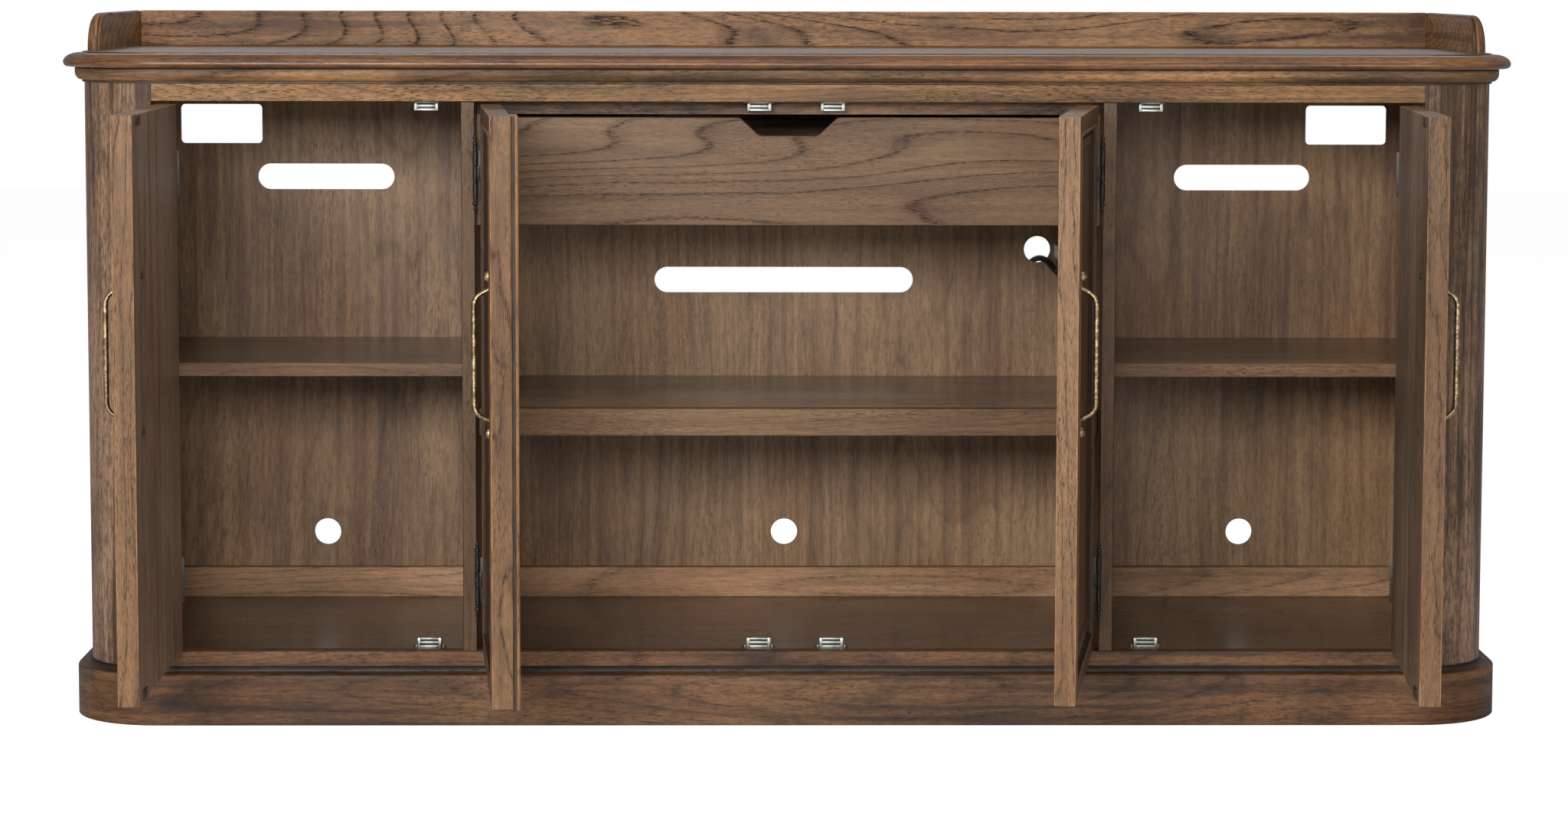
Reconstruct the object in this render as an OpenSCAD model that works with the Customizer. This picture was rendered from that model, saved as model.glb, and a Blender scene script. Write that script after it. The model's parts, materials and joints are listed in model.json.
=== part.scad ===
// Media cabinet: three bays behind four inset doors, a drawer in the centre bay,
// a moulded top with a low gallery, quarter-round corner posts and a coved plinth.
// Millimetres, +Z up, front towards -Y. The doors are modelled standing open.

/* [Case] */
// Width over the two corner posts
body_w = 1776; // [1600:2:1900]
// Height of the top surface above the floor
top_z = 842; // [800:1:900]
// Depth from the face of the posts to the back of the top
case_d = 481.6; // [460:0.4:540]
// Radius of the quarter-round corner posts
post_r = 96; // [80:1:110]
// Height of the plinth
plinth_h = 72; // [60:1:90]
// Thickness of the top, floor and sub top boards
board_t = 19; // [16:0.5:22]
// Thickness of the two partitions
partition_t = 17; // [15:0.5:20]
// Distance between the inner faces of the two partitions
centre_w = 782; // [760:2:800]
// Front face of the back panels, behind the face of the posts
back_y = 446; // [430:1:450]

/* [Top] */
// Overhang of the nosing past the posts
top_over = 26.4; // [20:0.2:30]
// Overhang of the cornice under the top
cornice_over = 12; // [8:0.5:16]
// Height of the gallery above the top
gallery_h = 47; // [30:1:60]
// Thickness of the gallery side returns
gallery_t = 18; // [15:0.5:22]
// Front end of the side returns, behind the face of the posts
gallery_front = 119; // [90:1:160]

/* [Plinth] */
// How far the plinth stands proud of the posts
plinth_over = 18; // [12:0.5:24]

/* [Doors] */
// Thickness of the doors
door_t = 25; // [22:0.5:27]
// Clearance between a door and its opening on each side
side_gap = 2.4; // [2.2:0.1:3]
// Where the two centre doors meet, right of the middle
meet_x = 8; // [0:1:10]
// Opening of the left outer door, from closed
open_outer_left = 89.5; // [80:0.1:95]
// Opening of the left centre door, from closed
open_inner_left = 84.8; // [80:0.1:95]
// Opening of the right centre door, from closed
open_inner_right = 81.8; // [80:0.1:95]
// Opening of the right outer door, from closed
open_outer_right = 85.4; // [80:0.1:95]
// Plain margin around the moulding on a door's front
door_margin = 20; // [16:1:40]
// Width of the moulding on a door's front
moulding_w = 28; // [20:1:30]
// Depth of a door's front panel behind its margin
recess = 7; // [5:0.5:9]

/* [Hardware] */
// Distance of the hinge pins in front of the door faces
pin_out = 6.5; // [6:0.1:8]
// Radius of the hinge knuckles
knuckle_r = 3.2; // [3:0.1:3.4]
// Height of a hinge leaf
leaf_h = 57; // [50:1:65]
// Distance between the two posts of a pull
pull_c = 183; // [160:1:200]
// Projection of the pull's grip from the door's panel
pull_out = 24; // [20:0.5:30]
// Height of the middle of the pulls above the floor
pull_z = 499; // [460:1:540]
// Distance of the pulls from a door's free edge
pull_inset = 60; // [58:1:70]

/* [Inside] */
// Top of the side shelves
side_shelf_z = 446.5; // [300:0.5:600]
// Thickness of the side shelves
side_shelf_t = 17; // [15:0.5:20]
// Front edge of the side shelves behind the face of the posts
side_shelf_y = 88; // [60:1:95]
// Top of the centre shelf
centre_shelf_z = 394; // [300:1:560]
// Depth of the centre shelf's front edge
centre_shelf_t = 34; // [25:1:40]
// Width of the drawer front
drawer_w = 680; // [640:1:684]
// Height of the drawer front
drawer_h = 135.5; // [120:0.5:137]
// Diameter of the round cable holes
cable_hole_d = 36; // [30:1:50]

/* [Hidden] */

$fn = 48;
half_w = body_w / 2;
post_x = half_w - post_r;
part_in = centre_w / 2;
part_out = part_in + partition_t;
top_under = top_z - board_t;
cornice_z = top_under - board_t;
rail_h = 22.5;
opening_top = cornice_z - rail_h;
floor_z = plinth_h + board_t + 0.5;
face_t = 20;
side_t = 20;
side_in = half_w - side_t;
back_t = 6;
batten_t = 18;
batten_h = 40.5;
shelf_gap = 1;

// Doors
door_bottom = floor_z + 2;
door_top = opening_top - 3;
pin_gap = side_gap / 2;
outer_pin = post_x - pin_gap;
inner_pin = part_in - pin_gap;
outer_door_w = post_x - part_out - 2 * side_gap;
inner_left_w = inner_pin + meet_x - 2 * pin_gap;
inner_right_w = inner_pin - meet_x - 2 * pin_gap;
leaf_t = 1;
leaf_d = 24;
pin_r = 1.5;
running_fit = 0.05;
hinge_z = [floor_z + 91.5, opening_top - 89];
finial_h = 22;
pull_r = 3.3;
strike_t = 1.8;
catch_size = [30, 13, 12];
catch_y = door_t + strike_t + 1;
catch_x = [-453, -37, 55, 453];

// The origin is the middle of the base of the box around the case and its open doors
front_reach = pin_out + (pin_gap + outer_door_w) * sin(open_outer_left);
lap = 8;
inner_reach = pin_out + (pin_gap + inner_left_w + lap) * sin(open_inner_left)
    - (pin_out + door_t + 0.6) * cos(open_inner_left);
face_y = (max(front_reach, inner_reach) - case_d) / 2;

// Drawer
drawer_y = 44;
drawer_top = opening_top - 20.5;
drawer_bottom_z = drawer_top - drawer_h;
drawer_t = 19;
wall_t = 12;
drawer_depth = 350;
drawer_low = drawer_bottom_z + 14.5;
drawer_high = drawer_top - 16;
drawer_side_x = 325;
guide_play = 0.6;

// Outlet and cord
outlet = [27, 70, 37];
outlet_y = 299;
outlet_z = 545;
cord_r = 4;
hole_x = 344;
hole_z = 567;
coil_r = [28.5, 52.5];
coil_x = 318;
coil_y = 539.7;
plug_x = coil_x - 76;
plug_y = coil_y + 7;

function arc(cx, cz, rx, rz, a0, a1, n = 6) =
    [for (i = [0 : n]) let (a = a0 + (a1 - a0) * i / n) [cx + rx * cos(a), cz + rz * sin(a)]];

// Outlines of the mouldings: first number outwards from the face of the posts, second height
function nosing(inner) = concat(
    [[inner, top_under]],
    arc(top_over - 6, top_under + 5.5, 6, 5.5, -90, 0),
    arc(5, top_under + 5.5, top_over - 5, board_t - 7, 0, 90, 10),
    [[2, top_z - 1.5], [2, top_z], [inner, top_z]]);

function ovolo(inner) = concat(
    [[inner, cornice_z], [3, cornice_z], [3, cornice_z + 2.5]],
    arc(4, cornice_z + 12.5, cornice_over - 4, 10, -90, 0, 8),
    [[cornice_over, top_under - 1.5], [cornice_over - 2, top_under - 1.5]],
    [[cornice_over - 2, top_under], [inner, top_under]]);

function base_profile(inner) = concat(
    [[inner, 0], [plinth_over, 0]],
    arc(plinth_over - 3.5, plinth_h - 11, 3.5, 3.5, 0, 90, 5),
    arc(plinth_over - 3.5, plinth_h - 5, 11.5, 2.5, 270, 180, 5),
    [[3, plinth_h - 1.7], [1.2, plinth_h - 1.7], [1.2, plinth_h], [inner, plinth_h]]);

// Runs of a moulding along the front, round the right front corner and along the right side
module front_run(outline) {
    translate([-post_x, 0, 0]) rotate([90, 0, 90])
        linear_extrude(2 * post_x) polygon([for (p = outline) [-p[0], p[1]]]);
}

module corner_run(outline) {
    translate([post_x, post_r, 0]) rotate([0, 0, -90])
        rotate_extrude(angle = 90) polygon([for (p = outline) [post_r + p[0], p[1]]]);
}

module side_run(outline, end_y) {
    translate([0, end_y, 0]) rotate([90, 0, 0])
        linear_extrude(end_y - post_r) polygon([for (p = outline) [half_w + p[0], p[1]]]);
}

module box(low, high) {
    translate(low) cube(high - low);
}

module at_face() {
    translate([0, face_y, 0]) children();
}

module oak(tint = "#7a6049") {
    color(tint) at_face() children();
}

module metal(tint) {
    color(tint) at_face() children();
}

module other_side() {
    mirror([1, 0, 0]) children();
}

// ---- Top, cornice and gallery ----
module top_panel() oak("#86684c") {
    front_run(nosing(-post_r));
    for (side = [0, 1]) mirror([side, 0, 0]) {
        corner_run(nosing(-post_r));
        side_run(nosing(-post_r), case_d);
    }
    box([-post_x, post_r, top_under], [post_x, case_d, top_z]);
}

module cornice_front() oak() front_run(ovolo(-8));

module cornice_side() {
    corner_run(ovolo(-8));
    side_run(ovolo(-8), case_d);
}

module cornice_right() oak() cornice_side();
module cornice_left() oak() other_side() cornice_side();

// Section of a gallery board: square inner edge, rounded outer edge
module gallery_section() {
    polygon(concat([[0, 0], [gallery_t, 0]],
        arc(gallery_t - 12, gallery_h - 18, 12, 18, 0, 90, 8), [[0, gallery_h]]));
}

// The return's front end sweeps down to the top in a quarter round
module gallery_return() {
    intersection() {
        translate([half_w - 15, case_d, top_z]) rotate([90, 0, 0])
            linear_extrude(case_d - gallery_front) gallery_section();
        translate([half_w - 20, 0, top_z]) rotate([90, 0, 90]) linear_extrude(30)
            polygon(concat(arc(gallery_front + gallery_h, 0, gallery_h, gallery_h, 180, 90, 12),
                [[case_d, gallery_h], [case_d, 0]]));
    }
}

module gallery_right() oak() gallery_return();
module gallery_left() oak() other_side() gallery_return();

module gallery_back() oak() {
    reach = half_w - 15;
    box([-reach, case_d - 22, top_z], [reach, case_d, top_z + gallery_h]);
}

// ---- Case ----
module post() {
    intersection() {
        translate([post_x, post_r, plinth_h]) cylinder(r = post_r, h = cornice_z - plinth_h, $fn = 96);
        box([post_x, 0, plinth_h], [half_w, post_r, cornice_z]);
    }
}

module corner_post_right() oak() post();
module corner_post_left() oak() other_side() post();

module pin_hole(x, y, z, r = 2.55) {
    translate([x, y, z]) rotate([0, 90, 0]) cylinder(r = r, h = 16, center = true);
}

// Distances of the shelf pins behind the face, front and back
side_pin_y = [140, 410];
centre_pin_y = [90, 400];
side_pin_z = side_shelf_z - side_shelf_t - 2.5;
centre_pin_z = centre_shelf_z - centre_shelf_t - 2.5;

module side_panel() {
    difference() {
        box([side_in, post_r, plinth_h], [half_w, case_d - 10, cornice_z]);
        for (y = side_pin_y) pin_hole(side_in, y, side_pin_z);
    }
}

module side_panel_right() oak() side_panel();
module side_panel_left() oak() other_side() side_panel();

module top_rail() oak("#86684c") {
    box([-post_x, 0, opening_top], [post_x, face_t, cornice_z]);
}

module bottom_rail() oak("#86684c") {
    box([-post_x, 0, plinth_h], [post_x, face_t, floor_z]);
}

// A board that fills the plan of the case behind the face rails
module case_board(low, high) {
    box([-post_x, face_t, low], [post_x, back_y, high]);
    box([-side_in, post_r, low], [side_in, back_y, high]);
}

module sub_top() oak() case_board(opening_top, opening_top + board_t);
module floor_panel() oak("#4f3d31") case_board(plinth_h, floor_z);

module partition() {
    difference() {
        box([part_in, 0, floor_z], [part_out, back_y, opening_top]);
        for (y = side_pin_y) pin_hole(part_out, y, side_pin_z);
        for (y = centre_pin_y) pin_hole(part_in, y, centre_pin_z);
    }
}

module partition_right() oak() partition();
module partition_left() oak() other_side() partition();

// ---- Back ----
module slot_hole(x, z, length, height) {
    for (end = [-1, 1])
        translate([x + end * (length - height) / 2, back_y - 1, z]) rotate([-90, 0, 0])
            cylinder(d = height, h = back_t + 2);
    box([x - (length - height) / 2, back_y - 1, z - height / 2],
        [x + (length - height) / 2, back_y + back_t + 1, z + height / 2]);
}

module round_hole(x, z) {
    translate([x, back_y - 1, z]) rotate([-90, 0, 0]) cylinder(d = cable_hole_d, h = back_t + 2);
}

module rounded_hole(x0, z0, x1, z1, r) {
    box([x0 + r, back_y - 1, z0], [x1 - r, back_y + back_t + 1, z1]);
    box([x0, back_y - 1, z0 + r], [x1, back_y + back_t + 1, z1 - r]);
    for (x = [x0 + r, x1 - r], z = [z0 + r, z1 - r])
        translate([x, back_y - 1, z]) rotate([-90, 0, 0]) cylinder(r = r, h = back_t + 2);
}

slot_h = 35;
panel_top = opening_top + board_t;
panel_edge = (part_in + part_out) / 2;
side_bay_x = 624;
low_hole_z = 179;

module back_side_panel() {
    difference() {
        box([panel_edge, back_y, plinth_h], [side_in, back_y + back_t, panel_top]);
        rounded_hole(708, 710, 818, 763, 6);
        slot_hole(side_bay_x - 2, 665, 185, slot_h);
        round_hole(side_bay_x, low_hole_z);
    }
}

module back_panel_right() oak("#6b5546") back_side_panel();
module back_panel_left() oak("#6b5546") other_side() back_side_panel();

module back_panel_centre() oak("#6b5546") {
    difference() {
        box([-panel_edge, back_y, plinth_h], [panel_edge, back_y + back_t, panel_top]);
        slot_hole(-1, 525, 352, slot_h);
        round_hole(0, low_hole_z);
        round_hole(hole_x, hole_z);
    }
}

module back_battens() oak("#8a6b4f") {
    for (span = [[-side_in, -part_out], [-part_in, part_in], [part_out, side_in]])
        box([span[0], back_y - batten_t, floor_z], [span[1], back_y, floor_z + batten_h]);
}

// ---- Plinth ----
plinth_in = -4;
module plinth_front() oak("#7d6148") front_run(base_profile(plinth_in));

module plinth_side() {
    corner_run(base_profile(plinth_in));
    side_run(base_profile(plinth_in), case_d - 10);
}

module plinth_right() oak("#7d6148") plinth_side();
module plinth_left() oak("#7d6148") other_side() plinth_side();

module plinth_back() oak() {
    reach = half_w + plinth_in;
    box([-reach, case_d - 28, 0], [reach, case_d - 10, plinth_h]);
}

// ---- Shelves ----
// Notched round the corner post
module side_shelf() {
    low = side_shelf_z - side_shelf_t;
    box([part_out + shelf_gap, side_shelf_y, low], [post_x - shelf_gap, back_y - shelf_gap, side_shelf_z]);
    box([post_x - 2 * shelf_gap, post_r + shelf_gap, low],
        [side_in - shelf_gap, back_y - shelf_gap, side_shelf_z]);
}

module shelf_right() oak() side_shelf();
module shelf_left() oak() other_side() side_shelf();

module shelf_centre() oak() {
    reach = part_in - shelf_gap;
    front = door_t + 11;
    box([-reach, front, centre_shelf_z - centre_shelf_t], [reach, back_y - shelf_gap, centre_shelf_z]);
}

module shelf_pins() metal("#b5a16f") {
    for (side = [0, 1]) mirror([side, 0, 0]) {
        for (y = side_pin_y, x = [part_out, side_in]) pin_hole(x, y, side_pin_z, 2.5);
        for (y = centre_pin_y) pin_hole(part_in, y, centre_pin_z, 2.5);
    }
}

// ---- Drawer ----
module drawer_rail() oak() {
    box([-part_in, drawer_y + 2, opening_top - 17], [part_in, drawer_y + 20, opening_top]);
}

module drawer_guide() {
    filler_x = drawer_w / 2 + 1;
    box([filler_x, drawer_y + 2, drawer_bottom_z], [part_in, drawer_y + 20, opening_top - 17]);
    box([drawer_side_x - 14, drawer_y + 20, drawer_low - 12],
        [part_in, back_y - batten_t, drawer_low - guide_play / 2]);
    box([drawer_side_x + guide_play, drawer_y + 20, drawer_low - guide_play / 2],
        [part_in, back_y - batten_t, drawer_low + 30]);
}

module drawer_guides() oak() {
    drawer_guide();
    other_side() drawer_guide();
}

// The scooped notch: half width at the edge and at its floor, and its depth
notch_edge = 63;
notch_floor = 37;
notch_d = 25;

module drawer_front() oak("#806651") {
    half = drawer_w / 2;
    side = concat(arc(notch_floor - 7, -notch_d + 12, 12, 12, -90, -35, 5),
        arc(notch_edge + 3, -9, 9, 9, 145, 90, 5));
    right = [for (p = side) [p[0], drawer_top + p[1]]];
    left = [for (i = [len(right) - 1 : -1 : 0]) [-right[i][0], right[i][1]]];
    translate([0, drawer_y + drawer_t, 0]) rotate([90, 0, 0]) linear_extrude(drawer_t)
        polygon(concat([[-half, drawer_bottom_z], [half, drawer_bottom_z], [half, drawer_top]],
            [for (i = [len(right) - 1 : -1 : 0]) right[i]], [for (p = right) [-p[0], p[1]]],
            [[-half, drawer_top]]));
}

module drawer_walls() oak("#8d7a63") {
    y0 = drawer_y + drawer_t;
    y1 = y0 + drawer_depth;
    for (side = [0, 1]) mirror([side, 0, 0])
        box([drawer_side_x - wall_t, y0, drawer_low], [drawer_side_x, y1, drawer_high]);
    inner = drawer_side_x - wall_t;
    box([-inner + 0.1, y1 - wall_t, drawer_low], [inner - 0.1, y1, drawer_high]);
}

module drawer_bottom() oak("#8d7a63") {
    inner = drawer_side_x - wall_t;
    y0 = drawer_y + drawer_t;
    box([-inner, y0, drawer_low + 6], [inner, y0 + drawer_depth - wall_t, drawer_low + 12]);
}

// ---- Doors ----
// Children are drawn as the closed left-hand door: hinge pin at x = 0, face at y = 0
module hang(side, pin_x, angle) {
    mirror([side > 0 ? 1 : 0, 0, 0]) translate([-pin_x, -pin_out, 0])
        rotate([0, 0, -angle]) translate([0, pin_out, 0]) children();
}

module hang_outer_left() hang(-1, outer_pin, open_outer_left) children();
module hang_inner_left() hang(-1, inner_pin, open_inner_left) children();
module hang_inner_right() hang(1, inner_pin, open_inner_right) children();
module hang_outer_right() hang(1, outer_pin, open_outer_right) children();

module door(width) {
    low = pin_gap + door_margin;
    high = pin_gap + width - door_margin;
    difference() {
        box([pin_gap, 0, door_bottom], [pin_gap + width, door_t, door_top]);
        box([low, -1, door_bottom + door_margin], [high, recess, door_top - door_margin]);
        for (z = pull_posts)
            translate([pin_gap + width - pull_inset, 0, z]) rotate([-90, 0, 0])
                cylinder(r = 2.2, h = 3 * door_t, center = true);
    }
}

pull_posts = [pull_z - pull_c / 2, pull_z + pull_c / 2];

module door_outer_left() oak() hang_outer_left() door(outer_door_w);
module door_inner_left() oak() hang_inner_left() door(inner_left_w);
module door_inner_right() oak() hang_inner_right() door(inner_right_w);
module door_outer_right() oak() hang_outer_right() door(outer_door_w);

// Steps of the door moulding: start and end inwards from the margin, then depth
moulding_steps = [[0, 5, -1], [5, 12, 2.5], [12, moulding_w, 5]];
mitre_gap = 0.2;

module moulding(width) {
    low = pin_gap + door_margin;
    high = pin_gap + width - door_margin;
    z0 = door_bottom + door_margin;
    z1 = door_top - door_margin;
    for (s = moulding_steps) {
        for (x = [[low + s[0], low + s[1]], [high - s[1], high - s[0]]])
            box([x[0], s[2], z0], [x[1], recess, z1]);
        for (z = [[z0 + s[0], z0 + s[1]], [z1 - s[1], z1 - s[0]]])
            box([low + moulding_w + mitre_gap, s[2], z[0]],
                [high - moulding_w - mitre_gap, recess, z[1]]);
    }
}

module moulding_outer_left() oak() hang_outer_left() moulding(outer_door_w);
module moulding_inner_left() oak() hang_inner_left() moulding(inner_left_w);
module moulding_inner_right() oak() hang_inner_right() moulding(inner_right_w);
module moulding_outer_right() oak() hang_outer_right() moulding(outer_door_w);

// Strip on the inner face of the left centre door; the part past the door's edge is set back
module astragal() oak() hang_inner_left() {
    edge = pin_gap + inner_left_w;
    front = door_t + 0.6;
    back = door_t + 8;
    translate([0, 0, door_bottom]) linear_extrude(door_top - door_bottom)
        polygon([[edge - 14, door_t], [edge, door_t], [edge, front], [edge + lap, front],
            [edge + lap, back], [edge - 14, back]]);
}

// ---- Hinges, strikes and catches ----
knuckle_gap = 0.4;
mid_knuckle = leaf_h / 3;

module door_leaf() {
    tab = pin_out - knuckle_r - 0.7;
    difference() {
        union() {
            box([pin_gap - leaf_t, -tab, -leaf_h / 2], [pin_gap, leaf_d, leaf_h / 2]);
            box([pin_gap - leaf_t, -pin_out, -mid_knuckle / 2], [pin_gap, 0, mid_knuckle / 2]);
            translate([0, -pin_out, -mid_knuckle / 2]) cylinder(r = knuckle_r, h = mid_knuckle);
        }
        translate([0, -pin_out, -leaf_h]) cylinder(r = pin_r + running_fit, h = 2 * leaf_h);
    }
}

// Turned tip of a hinge: rings, a ball and a small button
module finial() {
    cylinder(r = 3.3, h = 1.6);
    translate([0, 0, 1.6]) cylinder(r = 2.4, h = 1.6);
    translate([0, 0, 3.2]) cylinder(r = 3.3, h = 1.4);
    translate([0, 0, 4.6]) cylinder(r = 2, h = 2);
    translate([0, 0, 8.8]) sphere(r = 3.3);
    translate([0, 0, 10]) cylinder(r = 1.6, h = 6);
    translate([0, 0, 14.5]) cylinder(r = 3, h = 1.6);
    translate([0, 0, 16]) cylinder(r1 = 2.6, r2 = 1.2, h = finial_h - 16);
}

module case_leaf() {
    tab = pin_out - knuckle_r - 0.7;
    box([-pin_gap, -tab, -leaf_h / 2], [-pin_gap + leaf_t, leaf_d, leaf_h / 2]);
    for (side = [0, 1]) mirror([0, 0, side]) {
        low = mid_knuckle / 2 + knuckle_gap;
        box([-pin_gap, -pin_out, low], [-pin_gap + leaf_t, 0, leaf_h / 2]);
        translate([0, -pin_out, low]) cylinder(r = knuckle_r, h = leaf_h / 2 - low);
        translate([0, -pin_out, leaf_h / 2]) finial();
    }
    translate([0, -pin_out, -leaf_h / 2]) cylinder(r = pin_r, h = leaf_h);
}

module hinge_case_leaves() metal("#2a2623") {
    for (side = [0, 1], x = [outer_pin, inner_pin], z = hinge_z)
        mirror([side, 0, 0]) translate([-x, 0, z]) case_leaf();
}

catch_z = [floor_z, opening_top - catch_size[2]];

module plates(strike_x) {
    for (z = hinge_z) translate([0, 0, z]) door_leaf();
    for (z = catch_z)
        translate([strike_x - 15, door_t, z + (z > pull_z ? -4 : 4)]) cube([30, strike_t, 12]);
}

module plates_outer_left() metal("#2a2623") hang_outer_left() plates(outer_pin + catch_x[0]);
module plates_inner_left() metal("#2a2623") hang_inner_left() plates(inner_pin + catch_x[1]);
module plates_inner_right() metal("#2a2623") hang_inner_right() plates(inner_pin - catch_x[2]);
module plates_outer_right() metal("#2a2623") hang_outer_right() plates(outer_pin - catch_x[3]);

// A magnetic catch: body with two pole slots, and a screw tab at each end
module catch_body() {
    difference() {
        translate([-catch_size[0] / 2, 0, 0]) cube(catch_size);
        for (z = [2.6, 7.6]) translate([-10.5, -1, z]) cube([21, 2.5, 1.4]);
    }
    for (end = [-1, 1]) {
        translate([end * 17, 7, 0]) cylinder(r = 3.6, h = 1.4);
        translate([end * 17, 7, 1.4]) cylinder(r = 2.2, h = 1.4);
    }
}

module door_catches() metal("#a9aaa2") {
    for (x = catch_x) translate([x, catch_y, 0]) {
        translate([0, 0, floor_z]) catch_body();
        translate([0, 0, opening_top]) mirror([0, 0, 1]) catch_body();
    }
}

// ---- Pulls ----
module rod(a, b, r) {
    d = b - a;
    length = norm(d);
    translate(a) rotate([0, acos(d[2] / length), atan2(d[1], d[0])]) cylinder(r = r, h = length);
    translate(b) sphere(r = r);
}

// Half of a pull, from the middle of its grip to the screw through the door's panel
module half_pull() {
    bend = pull_c / 2 - 29;
    foot = pull_c / 2 - 11;
    end = pull_c / 2;
    ball = 6.2;
    panel_t = door_t - recess;
    translate([0, -pull_out, 0]) cylinder(r = pull_r, h = bend);
    translate([0, -pull_out, bend]) sphere(r = pull_r);
    rod([0, -pull_out, bend], [0, -ball, foot], pull_r);
    rod([0, -ball, foot], [0, -ball, end], 2.8);
    translate([0, -ball, end]) sphere(r = ball);
    translate([0, 0, end]) rotate([90, 0, 0]) cylinder(r = 5.5, h = 3);
    translate([0, -3, end]) rotate([-90, 0, 0]) cylinder(r = 2, h = panel_t + 3);
    translate([0, panel_t, end]) rotate([-90, 0, 0]) cylinder(r = 4, h = 2);
}

module pull(width) {
    translate([pin_gap + width - pull_inset, recess, pull_z]) {
        half_pull();
        mirror([0, 0, 1]) half_pull();
    }
}

module pull_outer_left() metal("#8f7a52") hang_outer_left() pull(outer_door_w);
module pull_inner_left() metal("#8f7a52") hang_inner_left() pull(inner_left_w);
module pull_inner_right() metal("#8f7a52") hang_inner_right() pull(inner_right_w);
module pull_outer_right() metal("#8f7a52") hang_outer_right() pull(outer_door_w);

// ---- Outlet and cord ----
outlet_x = part_in - outlet[0];
face_plate = 3;

module power_outlet() metal("#1b1b1c") {
    translate([outlet_x, outlet_y, outlet_z]) cube(outlet);
}

module outlet_face() metal("#c9c9c4") {
    difference() {
        box([outlet_x - face_plate, outlet_y, outlet_z + 18],
            [outlet_x, outlet_y + outlet[1], outlet_z + 35]);
        for (y = [18, 35, 52])
            translate([outlet_x - face_plate, outlet_y + y, outlet_z + 26.5]) rotate([0, 90, 0])
                cylinder(r = 2.6, h = 4, center = true);
    }
}

// The strain relief starts on the back end of the outlet's body and droops under the cord's weight
relief_at = [outlet_x + 13.2, outlet_y + outlet[1], outlet_z + 8.3];
relief_base = 3.3;

// Centre line of the cord: up to the hole, through it and down behind the case
way_out = [
    [376.6, 386.13, 543], [375.79, 393.31, 539.59], [374.28, 400.91, 537.7],
    [371.92, 409.06, 537.43], [369.1, 416.39, 538.82], [365.86, 423.07, 541.75],
    [362.23, 429.15, 546.43], [358.62, 434.52, 551.11], [354.51, 440.61, 554.23],
    [350.11, 447.13, 555.6], [345.66, 453.74, 555.15], [341.11, 460.47, 552.71],
    [337.26, 466.19, 548.69], [334.01, 471, 543.22], [331.42, 474.85, 536.12],
    [329.92, 477.07, 528.6], [329.41, 477.83, 520.67]
];
cord_start = way_out[0];
fall = way_out[len(way_out) - 1];

module cord_strain_relief() metal("#1b1b1c") {
    base = relief_at + [0, relief_base, 0];
    lean = cord_start - base;
    translate(relief_at) rotate([-90, 0, 0]) cylinder(r = 6.8, h = relief_base + 0.3);
    translate(base) rotate([0, acos(lean[2] / norm(lean)), atan2(lean[1], lean[0])])
        cylinder(r1 = 6, r2 = 4.6, h = norm(lean));
}

// Onto the floor and into the coil
bend_r = 36;
floor_way = [cos(50), sin(50), 0];
run_route = concat(way_out,
    [for (z = [440 : -80 : 60]) [fall[0], fall[1], z]],
    [for (a = [0 : 15 : 90]) [fall[0], fall[1], 4 + bend_r * (1 - sin(a))]
        + bend_r * (1 - cos(a)) * floor_way]);

// From the coil to the plug
tail_x = plug_x + bend_r;
tail_y = coil_y + coil_r[1] - cord_r;
tail_route = concat([[coil_x - 8, tail_y, 11], [tail_x + 14, tail_y, 11]],
    [for (a = [0 : 15 : 90]) [tail_x - bend_r * sin(a), tail_y - bend_r * (1 - cos(a)), 11]],
    [[plug_x, plug_y, 11]]);
cord_sides = 10;

function unit(v) = v / norm(v);
function tangent(p, i) = i == 0 ? unit(p[1] - p[0]) : i == len(p) - 1 ? unit(p[i] - p[i - 1])
    : unit(p[i + 1] - p[i - 1]);
function ring(p, i) = let (t = tangent(p, i), u = unit(cross(t, [0.8, 0.6, 0.05])), w = cross(t, u))
    [for (k = [0 : cord_sides - 1]) let (a = 360 * k / cord_sides)
        p[i] + cord_r * (u * cos(a) + w * sin(a))];

module cord_tube(p) {
    last = len(p) - 1;
    points = [for (i = [0 : last]) each ring(p, i)];
    start = [for (k = [0 : cord_sides - 1]) k];
    end = [for (k = [cord_sides - 1 : -1 : 0]) last * cord_sides + k];
    sides = [for (i = [0 : last - 1], k = [0 : cord_sides - 1]) let (n = (k + 1) % cord_sides)
        [i * cord_sides + k, (i + 1) * cord_sides + k, (i + 1) * cord_sides + n, i * cord_sides + n]];
    polyhedron(points, concat([start, end], sides));
}

module power_cord() metal("#18181a") {
    cord_tube(run_route);
    cord_tube(tail_route);
}

module cord_coil() metal("#18181a") {
    translate([coil_x, coil_y, 0]) rotate_extrude()
        polygon([[coil_r[0], 0], [coil_r[1], 0], [coil_r[1], 16], [coil_r[0], 16]]);
}

module cord_tie() metal("#18181a") {
    mid = (coil_r[0] + coil_r[1]) / 2;
    translate([coil_x - mid, coil_y, 0]) difference() {
        box([-14.5, -4, 0], [14.5, 4, 18.5]);
        box([-13, -5, -1], [13, 5, 17]);
    }
}

// The plug's body lies on the floor with its blades towards the case
module power_plug() metal("#18181a") {
    translate([plug_x, plug_y, 0]) {
        box([-13, -36, 0], [13, 0, 22]);
        for (x = [-6.35, 6.35]) box([x - 0.75, -52, 8], [x + 0.75, -36, 14]);
    }
}

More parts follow.
